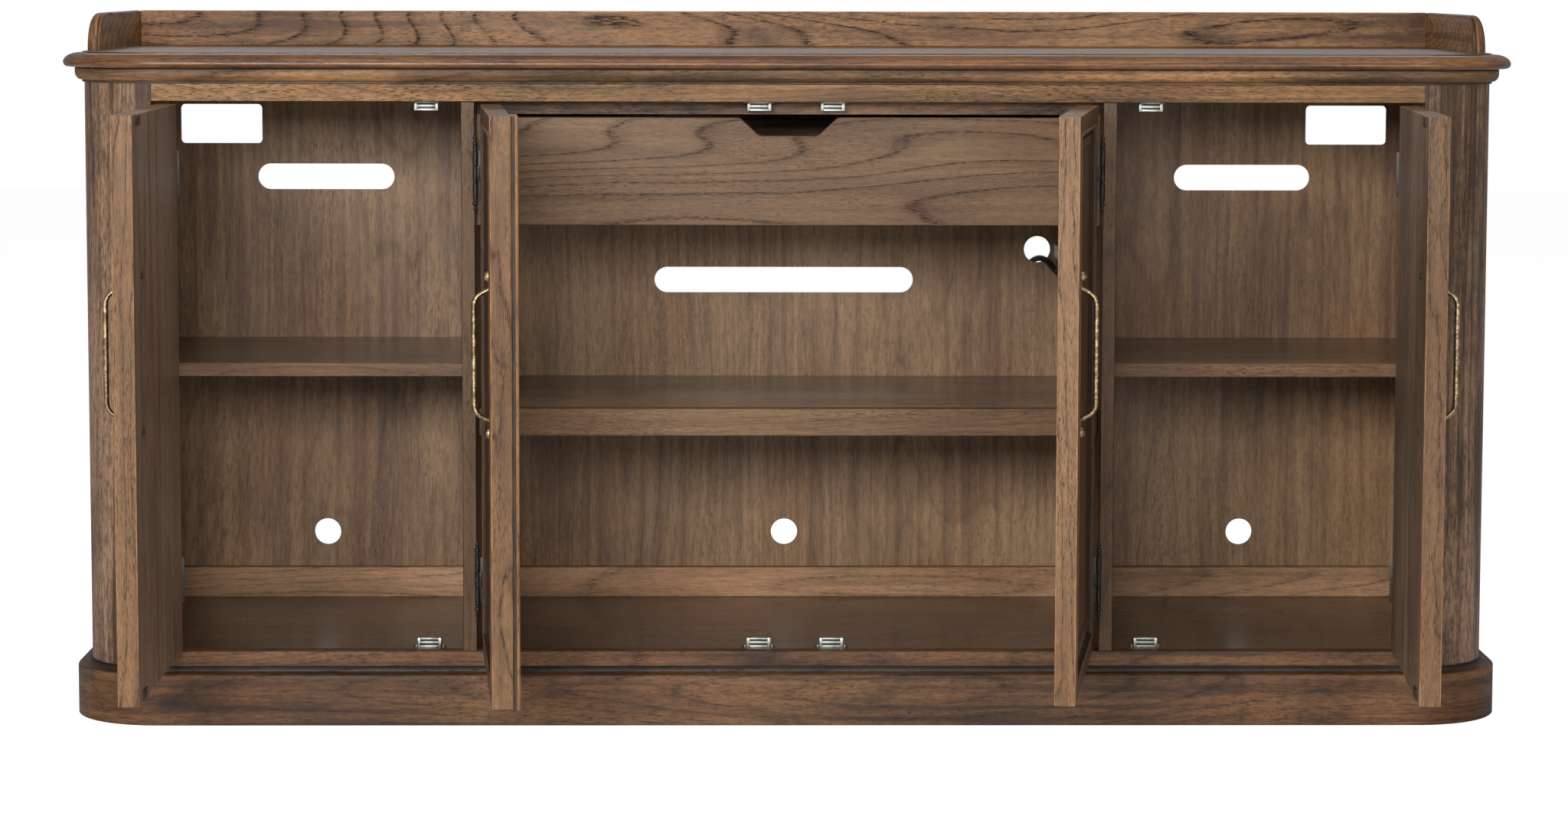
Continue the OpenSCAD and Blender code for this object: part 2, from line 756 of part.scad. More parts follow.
top_panel();
cornice_front();
cornice_left();
cornice_right();
gallery_back();
gallery_left();
gallery_right();
corner_post_left();
corner_post_right();
side_panel_left();
side_panel_right();
top_rail();
bottom_rail();
sub_top();
floor_panel();
partition_left();
partition_right();
back_panel_left();
back_panel_centre();
back_panel_right();
back_battens();
plinth_front();
plinth_left();
plinth_right();
plinth_back();
shelf_left();
shelf_centre();
shelf_right();
shelf_pins();
drawer_rail();
drawer_guides();
drawer_front();
drawer_walls();
drawer_bottom();
door_outer_left();
door_inner_left();
door_inner_right();
door_outer_right();
moulding_outer_left();
moulding_inner_left();
moulding_inner_right();
moulding_outer_right();
plates_outer_left();
plates_inner_left();
plates_inner_right();
plates_outer_right();
pull_outer_left();
pull_inner_left();
pull_inner_right();
pull_outer_right();
astragal();
hinge_case_leaves();
door_catches();
power_outlet();
outlet_face();
cord_strain_relief();
power_cord();
cord_coil();
cord_tie();
power_plug();
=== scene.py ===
"""Media cabinet with open doors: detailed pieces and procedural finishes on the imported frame."""
import json
import math
import random

import bmesh
import bpy
from mathutils import Matrix, Vector, noise


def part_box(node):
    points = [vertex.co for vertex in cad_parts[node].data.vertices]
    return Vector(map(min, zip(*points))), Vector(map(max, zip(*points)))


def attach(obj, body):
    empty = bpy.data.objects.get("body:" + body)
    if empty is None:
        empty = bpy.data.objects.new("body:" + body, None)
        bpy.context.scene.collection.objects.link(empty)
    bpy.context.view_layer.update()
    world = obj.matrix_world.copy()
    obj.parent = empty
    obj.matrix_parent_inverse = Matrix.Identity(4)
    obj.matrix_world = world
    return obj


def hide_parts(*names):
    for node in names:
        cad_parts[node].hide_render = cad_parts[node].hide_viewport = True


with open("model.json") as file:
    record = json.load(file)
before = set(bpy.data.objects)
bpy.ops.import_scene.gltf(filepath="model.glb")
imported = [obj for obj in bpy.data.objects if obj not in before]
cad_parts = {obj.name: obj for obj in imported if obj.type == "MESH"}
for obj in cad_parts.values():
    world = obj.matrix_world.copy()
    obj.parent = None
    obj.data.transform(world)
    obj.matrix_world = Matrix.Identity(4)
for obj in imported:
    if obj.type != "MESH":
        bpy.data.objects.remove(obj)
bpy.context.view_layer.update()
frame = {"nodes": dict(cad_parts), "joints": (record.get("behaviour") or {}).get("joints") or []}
scene = bpy.context.scene
random.seed(11)

MM = 0.001
FACE_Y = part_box("top_rail")[0].y  # the face of the posts and rails


def at(x, y, z):
    """Millimetres, with y behind the face of the posts, to the row frame."""
    return Vector((x * MM, FACE_Y + y * MM, z * MM))


# ---- camera, stage and lights
IMAGE_W = 2048
FOCAL_PX = 5094.1
SHIFT_PX = -100
YAW, PITCH, ROLL = 0.01223, 0.09218, 0.00202
CAMERA_AT = (-65.3, -4849.9, 943.9)
SENSOR = 36
AMBIENT, FLOOR_GLOW = 0.32, 0.7
FLOOR_HALF = 12
# name, place, target, size across and up, watts
LIGHTS = (
    ("key", (-1.0, -4.7, 1.65), (0.1, 0, 0.45), 2.0, 1.0, 190),
    ("fill", (1.6, -4.6, 1.2), (0, 0, 0.45), 1.2, 1.2, 40),
    ("left_strip", (-3.6, -2.6, 1.1), (-0.9, 0.1, 0.45), 0.5, 1.9, 12),
    ("right_strip", (3.6, -2.6, 1.1), (0.9, 0.1, 0.45), 0.5, 1.9, 9),
    ("back", (0, 2.6, 1.75), (0, 0.1, 0.88), 3.0, 0.5, 8),
    ("top", (0, -0.9, 2.9), (0, -0.1, 0.5), 3.0, 0.8, 22),
)


def make_camera():
    level = Vector((math.sin(YAW), math.cos(YAW), 0))
    forward = level * math.cos(PITCH) - Vector((0, 0, math.sin(PITCH)))
    right = Vector((math.cos(YAW), -math.sin(YAW), 0))
    up = right.cross(forward)
    c, s = math.cos(ROLL), math.sin(ROLL)
    right, up = c * right + s * up, c * up - s * right
    data = bpy.data.cameras.new("camera")
    data.sensor_width = SENSOR
    data.lens = SENSOR * FOCAL_PX / IMAGE_W
    data.shift_y = SHIFT_PX / IMAGE_W
    data.clip_start, data.clip_end = 0.1, 100
    cam = bpy.data.objects.new("camera", data)
    turn = Matrix((right, up, -forward)).transposed().to_4x4()
    cam.matrix_world = Matrix.Translation(at(*CAMERA_AT)) @ turn
    scene.collection.objects.link(cam)
    scene.camera = cam


def area_light(name, place, target, size_x, size_y, power):
    data = bpy.data.lights.new(name, "AREA")
    data.shape = "RECTANGLE"
    data.size, data.size_y, data.energy = size_x, size_y, power
    lamp = bpy.data.objects.new(name, data)
    lamp.location = place
    lamp.rotation_mode = "QUATERNION"
    lamp.rotation_quaternion = (Vector(target) - Vector(place)).to_track_quat("-Z", "Y")
    scene.collection.objects.link(lamp)


def make_stage():
    mesh = bpy.data.meshes.new("floor")
    h = FLOOR_HALF
    mesh.from_pydata([(-h, -h, 0), (h, -h, 0), (h, h, 0), (-h, h, 0)], [], [(0, 1, 2, 3)])
    floor = bpy.data.objects.new("floor", mesh)
    scene.collection.objects.link(floor)
    m = bpy.data.materials.new("floor_white")
    m.use_nodes = True
    nodes, links = m.node_tree.nodes, m.node_tree.links
    shader = nodes["Principled BSDF"]
    shader.inputs["Base Color"].default_value = (0.85, 0.85, 0.85, 1)
    shader.inputs["Roughness"].default_value = 0.9
    shader.inputs["Emission Color"].default_value = (1, 1, 1, 1)
    seen = nodes.new("ShaderNodeLightPath").outputs["Is Camera Ray"]
    glow = nodes.new("ShaderNodeMath")
    glow.operation = "MULTIPLY"
    glow.inputs[1].default_value = FLOOR_GLOW
    links.new(seen, glow.inputs[0])
    links.new(glow.outputs[0], shader.inputs["Emission Strength"])
    mesh.materials.append(m)

    world = bpy.data.worlds.new("world")
    world.use_nodes = True
    nodes, links = world.node_tree.nodes, world.node_tree.links
    ambient = nodes["Background"]
    ambient.inputs["Color"].default_value = (1, 1, 1, 1)
    ambient.inputs["Strength"].default_value = AMBIENT
    white = nodes.new("ShaderNodeBackground")
    mix = nodes.new("ShaderNodeMixShader")
    links.new(nodes.new("ShaderNodeLightPath").outputs["Is Camera Ray"], mix.inputs[0])
    links.new(ambient.outputs[0], mix.inputs[1])
    links.new(white.outputs[0], mix.inputs[2])
    white.inputs["Color"].default_value = (1, 1, 1, 1)
    links.new(mix.outputs[0], nodes["World Output"].inputs["Surface"])
    scene.world = world
    scene.view_settings.view_transform = "Standard"
    for light in LIGHTS:
        area_light(*light)


make_camera()
make_stage()

# ---- node helper


class Graph:
    """Short calls for a material's nodes."""

    def __init__(self, name):
        self.material = bpy.data.materials.new(name)
        self.material.use_nodes = True
        self.tree = self.material.node_tree
        self.tree.nodes.clear()
        self.shader = self.new("ShaderNodeBsdfPrincipled")
        out = self.new("ShaderNodeOutputMaterial")
        self.link(self.shader.outputs[0], out.inputs["Surface"])

    def new(self, kind, **settings):
        node = self.tree.nodes.new(kind)
        for key, value in settings.items():
            setattr(node, key, value)
        return node

    def link(self, a, b):
        self.tree.links.new(a, b)

    def put(self, value, socket):
        if isinstance(value, bpy.types.NodeSocket):
            self.link(value, socket)
        else:
            socket.default_value = value

    def attribute(self, name, output="Fac"):
        return self.new("ShaderNodeAttribute", attribute_name=name).outputs[output]

    def stretched(self, vector, scale, detail, rough, *stops):
        """Noise over a vector scaled along each axis, and a ramp over it where stops are given."""
        node = self.new("ShaderNodeMapping")
        self.link(vector, node.inputs["Vector"])
        node.inputs["Scale"].default_value = scale
        value = self.noise(node.outputs[0], detail, rough)
        return self.ramp(value, stops) if stops else value

    def noise(self, vector, detail, rough, scale=1.0):
        node = self.new("ShaderNodeTexNoise")
        self.link(vector, node.inputs["Vector"])
        node.inputs["Scale"].default_value = scale
        node.inputs["Detail"].default_value = detail
        node.inputs["Roughness"].default_value = rough
        return node.outputs["Fac"]

    def cells(self, vector, scale):
        node = self.new("ShaderNodeTexVoronoi")
        self.link(vector, node.inputs["Vector"])
        node.inputs["Scale"].default_value = scale
        return node.outputs["Distance"]

    def math(self, op, a, b=0.0, c=0.0):
        node = self.new("ShaderNodeMath", operation=op)
        for value, socket in zip((a, b, c), node.inputs):
            self.put(value, socket)
        return node.outputs[0]

    def times(self, a, b):
        return self.math("MULTIPLY", a, b)

    def ramp(self, value, stops):
        node = self.new("ShaderNodeValToRGB")
        self.link(value, node.inputs[0])
        elements = node.color_ramp.elements
        while len(elements) < len(stops):
            elements.new(0.5)
        for element, (place, shade) in zip(elements, stops):
            element.position = place
            element.color = (*((shade,) * 3 if isinstance(shade, (int, float)) else shade), 1)
        return node.outputs[0]

    def mix(self, factor, a, b, blend="MIX"):
        node = self.new("ShaderNodeMix", data_type="RGBA", blend_type=blend)
        self.put(factor, node.inputs[0])
        for value, socket in ((a, node.inputs[6]), (b, node.inputs[7])):
            self.put(value if isinstance(value, bpy.types.NodeSocket) else (*value, 1), socket)
        return node.outputs[2]

    def bump(self, height, strength, distance):
        node = self.new("ShaderNodeBump")
        node.inputs["Strength"].default_value = strength
        node.inputs["Distance"].default_value = distance
        self.link(height, node.inputs["Height"])
        self.link(node.outputs[0], self.shader.inputs["Normal"])

    def fixed(self, **values):
        for key, value in values.items():
            self.shader.inputs[key.replace("_", " ")].default_value = value


def linear(hex_color):
    """An sRGB colour as linear numbers."""
    parts = [int(hex_color[i : i + 2], 16) / 255 for i in (1, 3, 5)]
    return tuple(p / 12.92 if p <= 0.04045 else ((p + 0.055) / 1.055) ** 2.4 for p in parts)


def scaled(color, k):
    return tuple(min(1, c * k) for c in color)


# ---- materials
def wood(
    name, light, dark, rings, pitch=45, figure=28, pores=0.6, mottle=1.0, rough=(0.42, 0.6),
    coat=0.0, soot=0.0,
):
    """Open-pored oak. The attribute grain holds metres across, through and along the board.

    rings, pores, mottle, coat and soot are strengths; pitch is growth rings per metre on a
    quarter-sawn board, figure how many flames a flat-sawn one shows, rough the roughness range.
    """
    g = Graph(name)
    light, dark = linear(light), linear(dark)
    worn, ink = scaled(light, 1.9), scaled(dark, 0.16)
    grain = g.attribute("grain", "Vector")
    sway = g.stretched(grain, (9, 9, 1.6), 2, 0.5)
    ripple = g.stretched(grain, (45, 45, 14), 2, 0.5)
    shift = g.new("ShaderNodeCombineXYZ")
    bend = g.times(g.math("SUBTRACT", sway, 0.5), 0.03)
    g.link(g.math("MULTIPLY_ADD", g.math("SUBTRACT", ripple, 0.5), 0.004, bend), shift.inputs[0])
    moved = g.new("ShaderNodeVectorMath", operation="ADD")
    g.link(grain, moved.inputs[0])
    g.link(shift.outputs[0], moved.inputs[1])
    moved = moved.outputs[0]
    # growth rings: contour lines of a long soft field, which form flames on a flat-sawn face
    field = g.stretched(moved, (5.5, 5.5, 0.7), 1.0, 0.35)
    split = g.new("ShaderNodeSeparateXYZ")
    g.link(moved, split.inputs[0])
    phase = g.math("MULTIPLY_ADD", field, figure, g.times(split.outputs[0], pitch))
    late_wood = [(0.0, 1.0), (0.05, 0.25), (0.12, 0.0), (0.7, 0.0), (0.9, 0.35), (0.97, 1.0)]
    ring = g.ramp(g.math("FRACT", phase), late_wood)
    dash = g.stretched(moved, (900, 900, 90), 2, 0.6, (0.46, 0.0), (0.58, 1.0))
    streak = g.stretched(moved, (80, 80, 1.6), 3, 0.55)
    fine = g.stretched(moved, (900, 900, 30), 2, 0.6)
    cloud = g.stretched(grain, (5, 5, 2.4), 3, 0.55)
    tone = g.times(ring, 0.22 * rings)
    for layer, weight in ((cloud, 1.7 * mottle), (fine, 1.3), (streak, 1.6 * mottle)):
        tone = g.math("MULTIPLY_ADD", g.math("SUBTRACT", layer, 0.5), weight, tone)
    tone = g.ramp(g.math("ADD", tone, 0.42), [(0.0, 0.0), (1.0, 1.0)])
    color = g.mix(tone, light, dark)
    blush = g.stretched(grain, (8, 8, 3), 2, 0.5, (0.5, 0.0), (0.72, 1.0))
    color = g.mix(g.times(blush, 0.5), color, (1.0, 0.74, 0.56), "MULTIPLY")
    # a thin broken glaze rubbed into the surface
    rubbed = g.stretched(grain, (260, 260, 60), 4, 0.75, (0.44, 0.0), (0.66, 1.0))
    color = g.mix(g.times(rubbed, 0.35 * mottle), color, scaled(dark, 0.6))
    if soot:
        smudge = g.stretched(grain, (16, 16, 7), 4, 0.65, (0.5, 0.0), (0.7, 1.0))
        color = g.mix(g.times(smudge, soot), color, ink)
    # dark checks follow the ring lines; single pores lie between them
    cells = g.stretched(moved, (1200, 1200, 110), 1.5, 0.5, (0.56, 0.0), (0.63, 1.0))
    line = g.times(ring, g.math("MULTIPLY_ADD", dash, 0.8, 0.12))
    patchy = g.stretched(grain, (26, 26, 5), 2, 0.5, (0.35, 0.15), (0.65, 1.0))
    pore = g.times(cells, g.times(patchy, pores))
    mark = g.math("MAXIMUM", g.times(line, rings), pore)
    color = g.mix(mark, color, ink)
    # worn edges, and painted shade: near black in the grooves, recesses and under edges
    patch = g.stretched(grain, (60, 60, 25), 3, 0.6)
    wear = g.times(g.attribute("wear"), g.ramp(patch, [(0.42, 0.15), (0.62, 1.0)]))
    color = g.mix(g.times(wear, 0.7), color, worn)
    painted_shade = g.times(g.attribute("painted_shade"), g.ramp(patch, [(0.3, 0.8), (0.6, 1.0)]))
    color = g.mix(painted_shade, color, scaled(dark, 0.08))
    g.link(color, g.shader.inputs["Base Color"])
    spread = g.math("MULTIPLY_ADD", cloud, rough[1] - rough[0], rough[0])
    g.link(g.math("MULTIPLY_ADD", mark, 0.25, spread), g.shader.inputs["Roughness"])
    g.fixed(Specular_IOR_Level=0.36)
    if coat:
        g.fixed(Coat_Weight=coat, Coat_Roughness=0.14)
    g.bump(g.math("SUBTRACT", g.times(fine, 0.5), mark), 0.4, 0.0003)
    return g.material


def metal(name, bright, dull, rough, bump_scale, bump_depth, metallic=1.0, hammered=False):
    g = Graph(name)
    coords = g.new("ShaderNodeTexCoord").outputs["Object"]
    patch = g.noise(coords, 3, 0.6, 140)
    cells = g.cells(coords, bump_scale)
    worn = g.ramp(g.math("MULTIPLY_ADD", cells, -0.35 if hammered else 0.0, patch), [(0.25, 0), (0.5, 1)])
    g.link(g.mix(worn, linear(dull), linear(bright)), g.shader.inputs["Base Color"])
    g.link(g.math("MULTIPLY_ADD", patch, 0.3, rough - 0.1), g.shader.inputs["Roughness"])
    g.fixed(Metallic=metallic)
    fine = g.noise(coords, 2, 0.5, 900)
    relief = g.times(cells, 1.0 if hammered else 0.15)
    g.bump(g.math("ADD", relief, g.times(fine, 0.12)), 0.6, bump_depth)
    return g.material


def plastic(name, color, rough, texture):
    g = Graph(name)
    coords = g.new("ShaderNodeTexCoord").outputs["Object"]
    speck = g.noise(coords, 2, 0.5, texture)
    broad = g.noise(coords, 2, 0.5, 60)
    base = linear(color)
    g.link(g.mix(broad, scaled(base, 0.8), scaled(base, 1.2)), g.shader.inputs["Base Color"])
    g.link(g.math("MULTIPLY_ADD", speck, 0.2, rough - 0.1), g.shader.inputs["Roughness"])
    g.bump(speck, 0.3, 0.0001)
    return g.material


MATERIALS = {
    "case_wood": wood("case_oak", "#a4764b", "#533b21", 0.7, pores=0.8, mottle=1.7, soot=0.5),
    "rail_wood": wood("rail_oak", "#996d3b", "#5b3e1b", 0.6, 90, pores=0.9, mottle=1.5, soot=0.3),
    # the bottom and drawer rails also use this darker oak, as painted shade
    "plinth_wood": wood("plinth_oak", "#775231", "#3c2612", 0.7, pores=0.8, mottle=1.8, soot=0.7),
    "case_upright": wood("case_oak_upright", "#9a795f", "#4a3422", 0.8, 110, pores=0.8, mottle=2.5, soot=0.5),
    "top_wood": wood("top_oak", "#7e532e", "#4c2f17", 0.7, 45, 28, 0.8, 1.6, (0.3, 0.42), 0.15, 0.5),
    "gallery": wood("gallery_oak", "#8d653d", "#54361b", 1.3, 45, 52, 0.7, 1.9, soot=0.55),
    # partition oak is darkened as painted shade for the partition edges between the open doors; the sub top
    # shares it
    "partition": wood("partition_oak", "#644626", "#432c17", 0.5),
    "door_wood": wood("door_oak", "#825f3d", "#5a3e22", 1.0, 230, 20, 0.9, 1.3, soot=0.2),
    # the doors' outer faces and mouldings are kept darker than the case oak as painted shade
    "door_front": wood("door_front_oak", "#6f4e35", "#46301f", 0.5, pores=0.8),
    "door_face": wood("door_face_oak", "#8b715e", "#4e3c2d", 0.5, mottle=1.4, rough=(0.34, 0.46)),
    "shelf_wood": wood("shelf_oak", "#87694d", "#533c26", 0.4, pores=0.4, rough=(0.24, 0.36), coat=0.3),
    "floor_wood": wood("floor_oak", "#4e321b", "#2c190b", 0.4, pores=0.4, rough=(0.22, 0.34), coat=0.35),
    "shelf_edge": wood("shelf_edge_oak", "#7d5d3c", "#533822", 0.5, 90, pores=0.7),
    "back_veneer": wood(
        "back_veneer_oak", "#9d7c59", "#674a32", 0.4, 45, 22, 0.5, 1.3, (0.4, 0.52), soot=0.2
    ),
    "batten_wood": wood("batten_oak", "#c0936e", "#7c5c3b", 0.6, 45, 30, 0.55, soot=0.2),
    "drawer_face": wood("drawer_oak", "#7b5e3f", "#533923", 1.0, 45, 36),
    "drawer_wood": wood("drawer_box_wood", "#a98f70", "#83694c", 0.5, pores=0.25, rough=(0.5, 0.62)),
    "antique_brass": metal("antique_brass", "#c2ab84", "#77624a", 0.36, 420, 0.00012, hammered=True),
    "black_iron": metal("black_iron", "#2c2825", "#0f0d0c", 0.4, 300, 0.0001, 0.5),
    "leaf_iron": metal("leaf_iron", "#3a332c", "#171411", 0.42, 300, 0.0001, 0.6),
    "nickel": metal("nickel", "#a3a49c", "#6f716b", 0.36, 300, 0.0001),
    "pin_brass": metal("pin_brass", "#c2a25c", "#8b7038", 0.34, 300, 0.0001),
    "black_plastic": plastic("black_plastic", "#1a1a1b", 0.45, 1500),
    "pale_plastic": plastic("pale_plastic", "#c9c9c4", 0.4, 1500),
    "cord_rubber": plastic("cord_rubber", "#161617", 0.5, 2500),
}

# ---- mesh helper


def random_offset():
    """Where in the endless plank a board is cut from, so no two boards share their figure."""
    return Vector([random.uniform(0, 9) for _ in range(3)])


class Piece:
    """Collects closed shells. Every corner carries grain coordinates and painted shade, every face wear."""

    def __init__(self, bm=None):
        self.bm = bmesh.new() if bm is None else bm
        self.grain = self.bm.loops.layers.float_vector.new("grain")
        self.painted_shade = self.bm.loops.layers.float.new("painted_shade")
        self.wear = self.bm.faces.layers.float.new("wear")
        self.offset = random_offset()

    def face(self, verts, coords, painted_shade=None, wear=0.0, material=0):
        try:
            f = self.bm.faces.new(verts)
        except ValueError:
            return
        f.material_index = material
        f[self.wear] = wear
        for i, loop in enumerate(f.loops):
            loop[self.grain] = Vector(coords[i]) + self.offset
            loop[self.painted_shade] = painted_shade[i] if painted_shade else 0.0

    def grid(self, points, coords=None, wrap_u=False, wrap_v=False, painted_shade=None, material=0):
        """Quads over rows of points. Without coords, the grain coordinates are the points."""
        coords = coords or [[tuple(p) for p in row] for row in points]
        verts = [[self.bm.verts.new(p) for p in row] for row in points]
        nu, nv = len(points), len(points[0])
        for i in range(nu if wrap_u else nu - 1):
            for j in range(nv if wrap_v else nv - 1):
                a, b = (i + 1) % nu, (j + 1) % nv
                corners = ((i, j), (a, j), (a, b), (i, b))
                if callable(coords):  # the seam's far side counts on instead of starting over
                    ends = [(p if p or i < nu - 1 else nu, q if q or j < nv - 1 else nv) for p, q in corners]
                    spots = [coords(p, q) for p, q in ends]
                else:
                    spots = [coords[p][q] for p, q in corners]
                shade = [painted_shade[q] for _, q in corners] if painted_shade else None
                self.face([verts[p][q] for p, q in corners], spots, shade, 0.0, material)
        return verts

    def cap(self, verts, *order):
        """A flat end; order names the axes that run across, through and along the grain."""
        order = order or (0, 1, 2)
        self.face(verts, [[v.co[i] for i in order] for v in verts])

    def ends(self, verts, material=0):
        for ring in (verts[0], verts[-1]):
            self.face(list(ring), [tuple(v.co) for v in ring], material=material)

    def box(self, low, high, mapping, bevel=0.8, place=None, material=0, wear=0.3, painted_shade=0.0):
        """A board with eased edges; low and high in millimetres of the place given."""
        made = bmesh.ops.create_cube(self.bm, size=1.0)
        low, high = Vector(low), Vector(high)
        for v in made["verts"]:
            v.co = Vector([(low[i] + high[i]) / 2 + v.co[i] * (high[i] - low[i]) for i in range(3)])
        edges = list({e for v in made["verts"] for e in v.link_edges})
        width = min(bevel, 0.3 * min(high[i] - low[i] for i in range(3)))
        out = bmesh.ops.bevel(self.bm, geom=edges, offset=width, segments=2, profile=0.5, affect="EDGES")
        eased = set(out["faces"])
        faces = {f for v in {v for f in eased for v in f.verts} for f in v.link_faces}
        for f in faces:
            f.material_index = material
            f[self.wear] = wear if f in eased else 0.0
            for loop in f.loops:
                loop[self.grain] = Vector(mapping(loop.vert.co)) + self.offset
                loop[self.painted_shade] = painted_shade if f in eased else 0.0
        place = place or face_frame
        for v in {v for f in faces for v in f.verts}:
            v.co = place(v.co)

    def lathe(self, outline, place, sides=20, material=0):
        """Outline is (radius, height) in millimetres, from axis to axis along the local Z."""
        turns = [2 * math.pi * k / sides for k in range(sides)]
        rows = [[place(Vector((r * math.cos(a), r * math.sin(a), h))) for a in turns] for r, h in outline]
        self.ends(self.grid(rows, wrap_v=True, material=material), material)

    def tube(self, points, radii, place, sides, dents):
        """A hammered rod along points in millimetres, with parallel-transported rings."""
        points = [Vector(p) for p in points]
        padded = [points[0], *points, points[-1]]
        tangents = [(b - a).normalized() for a, b in zip(padded, padded[2:])]
        side = tangents[0].orthogonal().normalized()
        rows = []
        for i, (p, t) in enumerate(zip(points, tangents)):
            side = (side - side.dot(t) * t).normalized()
            other = t.cross(side)
            row = []
            for k in range(sides):
                a = 2 * math.pi * k / sides
                d = math.cos(a) * side + math.sin(a) * other
                r = radii[i] * (1 - dents * (0.5 + 0.5 * noise.noise(p * 0.55 + d * 1.7)))
                row.append(place(p + r * d))
            rows.append(row)
        self.ends(self.grid(rows, wrap_v=True))

    def finish(self, name, body, slot, finishes, replaced=(), angle=28, flat=False):
        bm = self.bm
        bmesh.ops.remove_doubles(bm, verts=bm.verts, dist=1e-7)
        bmesh.ops.recalc_face_normals(bm, faces=bm.faces)
        for f in bm.faces:
            f.smooth = not flat
        for e in bm.edges:
            e.smooth = len(e.link_faces) == 2 and e.calc_face_angle(0) < math.radians(angle)
        mesh = bpy.data.meshes.new(name)
        bm.to_mesh(mesh)
        bm.free()
        obj = bpy.data.objects.new(name, mesh)
        scene.collection.objects.link(obj)
        for key in [finishes] if isinstance(finishes, str) else finishes:
            mesh.materials.append(MATERIALS[key])
        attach(obj, body)
        if replaced:
            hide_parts(*replaced)
        return obj


def face_frame(p):
    return at(*p)


def to_face(p):
    return (p[0] / MM, (p[1] - FACE_Y) / MM, p[2] / MM)


def local(origin, place=face_frame, axes=(0, 1, 2), signs=(1, 1, 1)):
    """A place for things drawn about their own origin, whose axes become the axes named."""

    def put(p):
        return place(Vector([o + sign * p[axis] for o, axis, sign in zip(origin, axes, signs)]))

    return put


def grain_map(*order):
    """Grain coordinates in metres from the axes that run across, through and along the board."""
    return lambda p: tuple(p[i] * MM for i in order)


along_x, along_y, along_z = grain_map(2, 1, 0), grain_map(2, 0, 1), grain_map(0, 1, 2)
flat_x, side_z = grain_map(1, 2, 0), grain_map(1, 0, 2)


def node_box(node):
    """Lowest and highest corner of a CAD node in millimetres of the face frame."""
    low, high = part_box(node)
    move = Vector((0, FACE_Y, 0))
    return (low - move) / MM, (high - move) / MM


def board(node, mapping, finish, slot, bevel=0.8, body="case", wear=0.2, painted_shade=0.0):
    piece = Piece()
    piece.box(*node_box(node), mapping, bevel, wear=wear, painted_shade=painted_shade)
    piece.finish(node + "_board", body, slot, finish, [node], flat=True)


# ---- dimensions read from the frame
top_low, top_high = node_box("top_panel")
post_low, post_high = node_box("corner_post_right")
HALF_W = post_high.x
POST_X = post_low.x
POST_R = HALF_W - POST_X
CASE_D, TOP_Z, TOP_UNDER = top_high.y, top_high.z, top_low.z
PLINTH_H, CORNICE_Z = post_low.z, post_high.z
OPENING_TOP = node_box("top_rail")[0].z
FLOOR_Z = node_box("bottom_rail")[1].z
PART_IN, PART_OUT = (corner.x for corner in node_box("partition_right"))
TOP_OVER = top_high.x - HALF_W


def arc(cx, cz, rx, rz, start, end, n):
    turns = [math.radians(start + (end - start) * i / n) for i in range(n + 1)]
    return [(cx + rx * math.cos(a), cz + rz * math.sin(a)) for a in turns]


def corner_stations(end_y):
    """Plan points of the face line from the right front corner to the back, with outward directions."""
    ways = arc(0, 0, 1, 1, -90, 0, 22)
    curve = [((POST_X + POST_R * c, POST_R + POST_R * s), (c, s)) for c, s in ways]
    return curve + [((HALF_W, end_y), (1, 0))]


def mirrored(stations):
    return [((-p[0], p[1]), (-n[0], n[1])) for p, n in reversed(stations)]


def running(points, start=0.0):
    """How far along a line each of its points lies, in plan."""
    out = [start]
    for a, b in zip(points, points[1:]):
        out.append(out[-1] + math.dist(a[:2], b[:2]))
    return out


def with_length(stations, start=0.0):
    return [(p, n, along) for (p, n), along in zip(stations, running([p for p, _ in stations], start))]


def sweep(piece, stations, profile, closed=True):
    """Profile points are (outwards, height, painted shade)."""
    lengths = running(profile + profile[:1])
    rows = [[at(p[0] + n[0] * o, p[1] + n[1] * o, z) for o, z, _ in profile] for p, n, _ in stations]

    def coords(i, j):
        return (lengths[j] * MM, 0.01, stations[min(i, len(stations) - 1)][2] * MM)

    return piece.grid(rows, coords, wrap_v=closed, painted_shade=[g for _, _, g in profile])


def moulding(name, stations, profile, finish, replaced, start, shared):
    piece = Piece()
    piece.offset = shared  # the grain runs on from one length to the next
    verts = sweep(piece, with_length(stations, start), profile)
    for ring in (verts[0], verts[-1]):
        piece.cap(ring, 0, 2, 1)
    piece.finish(name, "case", "case_wood", finish, replaced)


# ---- top, cornice, plinth
def nosing_profile():
    # the third number is painted shade: dark on the underside and in the small step below the top edge
    o = TOP_OVER
    under = arc(o - 6, TOP_UNDER + 5.5, 6, 5.5, -90, 0, 7)
    over = arc(5, TOP_UNDER + 5.5, o - 5, 12, 0, 90, 14)
    points = [(-30, TOP_UNDER, 1)] + [(a, b, 0) for a, b in under] + [(a, b, 0) for a, b in over[1:]]
    points = points[:1] + [(11, TOP_UNDER, 1), (14, TOP_UNDER, 0.7)] + points[1:]
    return points + [(2.3, TOP_Z - 1.7, 0.9), (1.9, TOP_Z - 1.5, 1), (1.9, TOP_Z - 0.4, 0.2), (1.5, TOP_Z, 0)]


def make_top():
    piece = Piece()
    right = corner_stations(CASE_D)
    stations = with_length(mirrored(right) + right)
    profile = nosing_profile()
    verts = sweep(piece, stations, profile, closed=False)
    piece.cap([row[-1] for row in verts], 1, 2, 0)
    piece.cap([row[0] for row in verts], 1, 2, 0)
    piece.cap(verts[0] + verts[-1][::-1], 2, 1, 0)
    piece.finish("top_slab", "case", "case_wood", "top_wood", ["top_panel"])


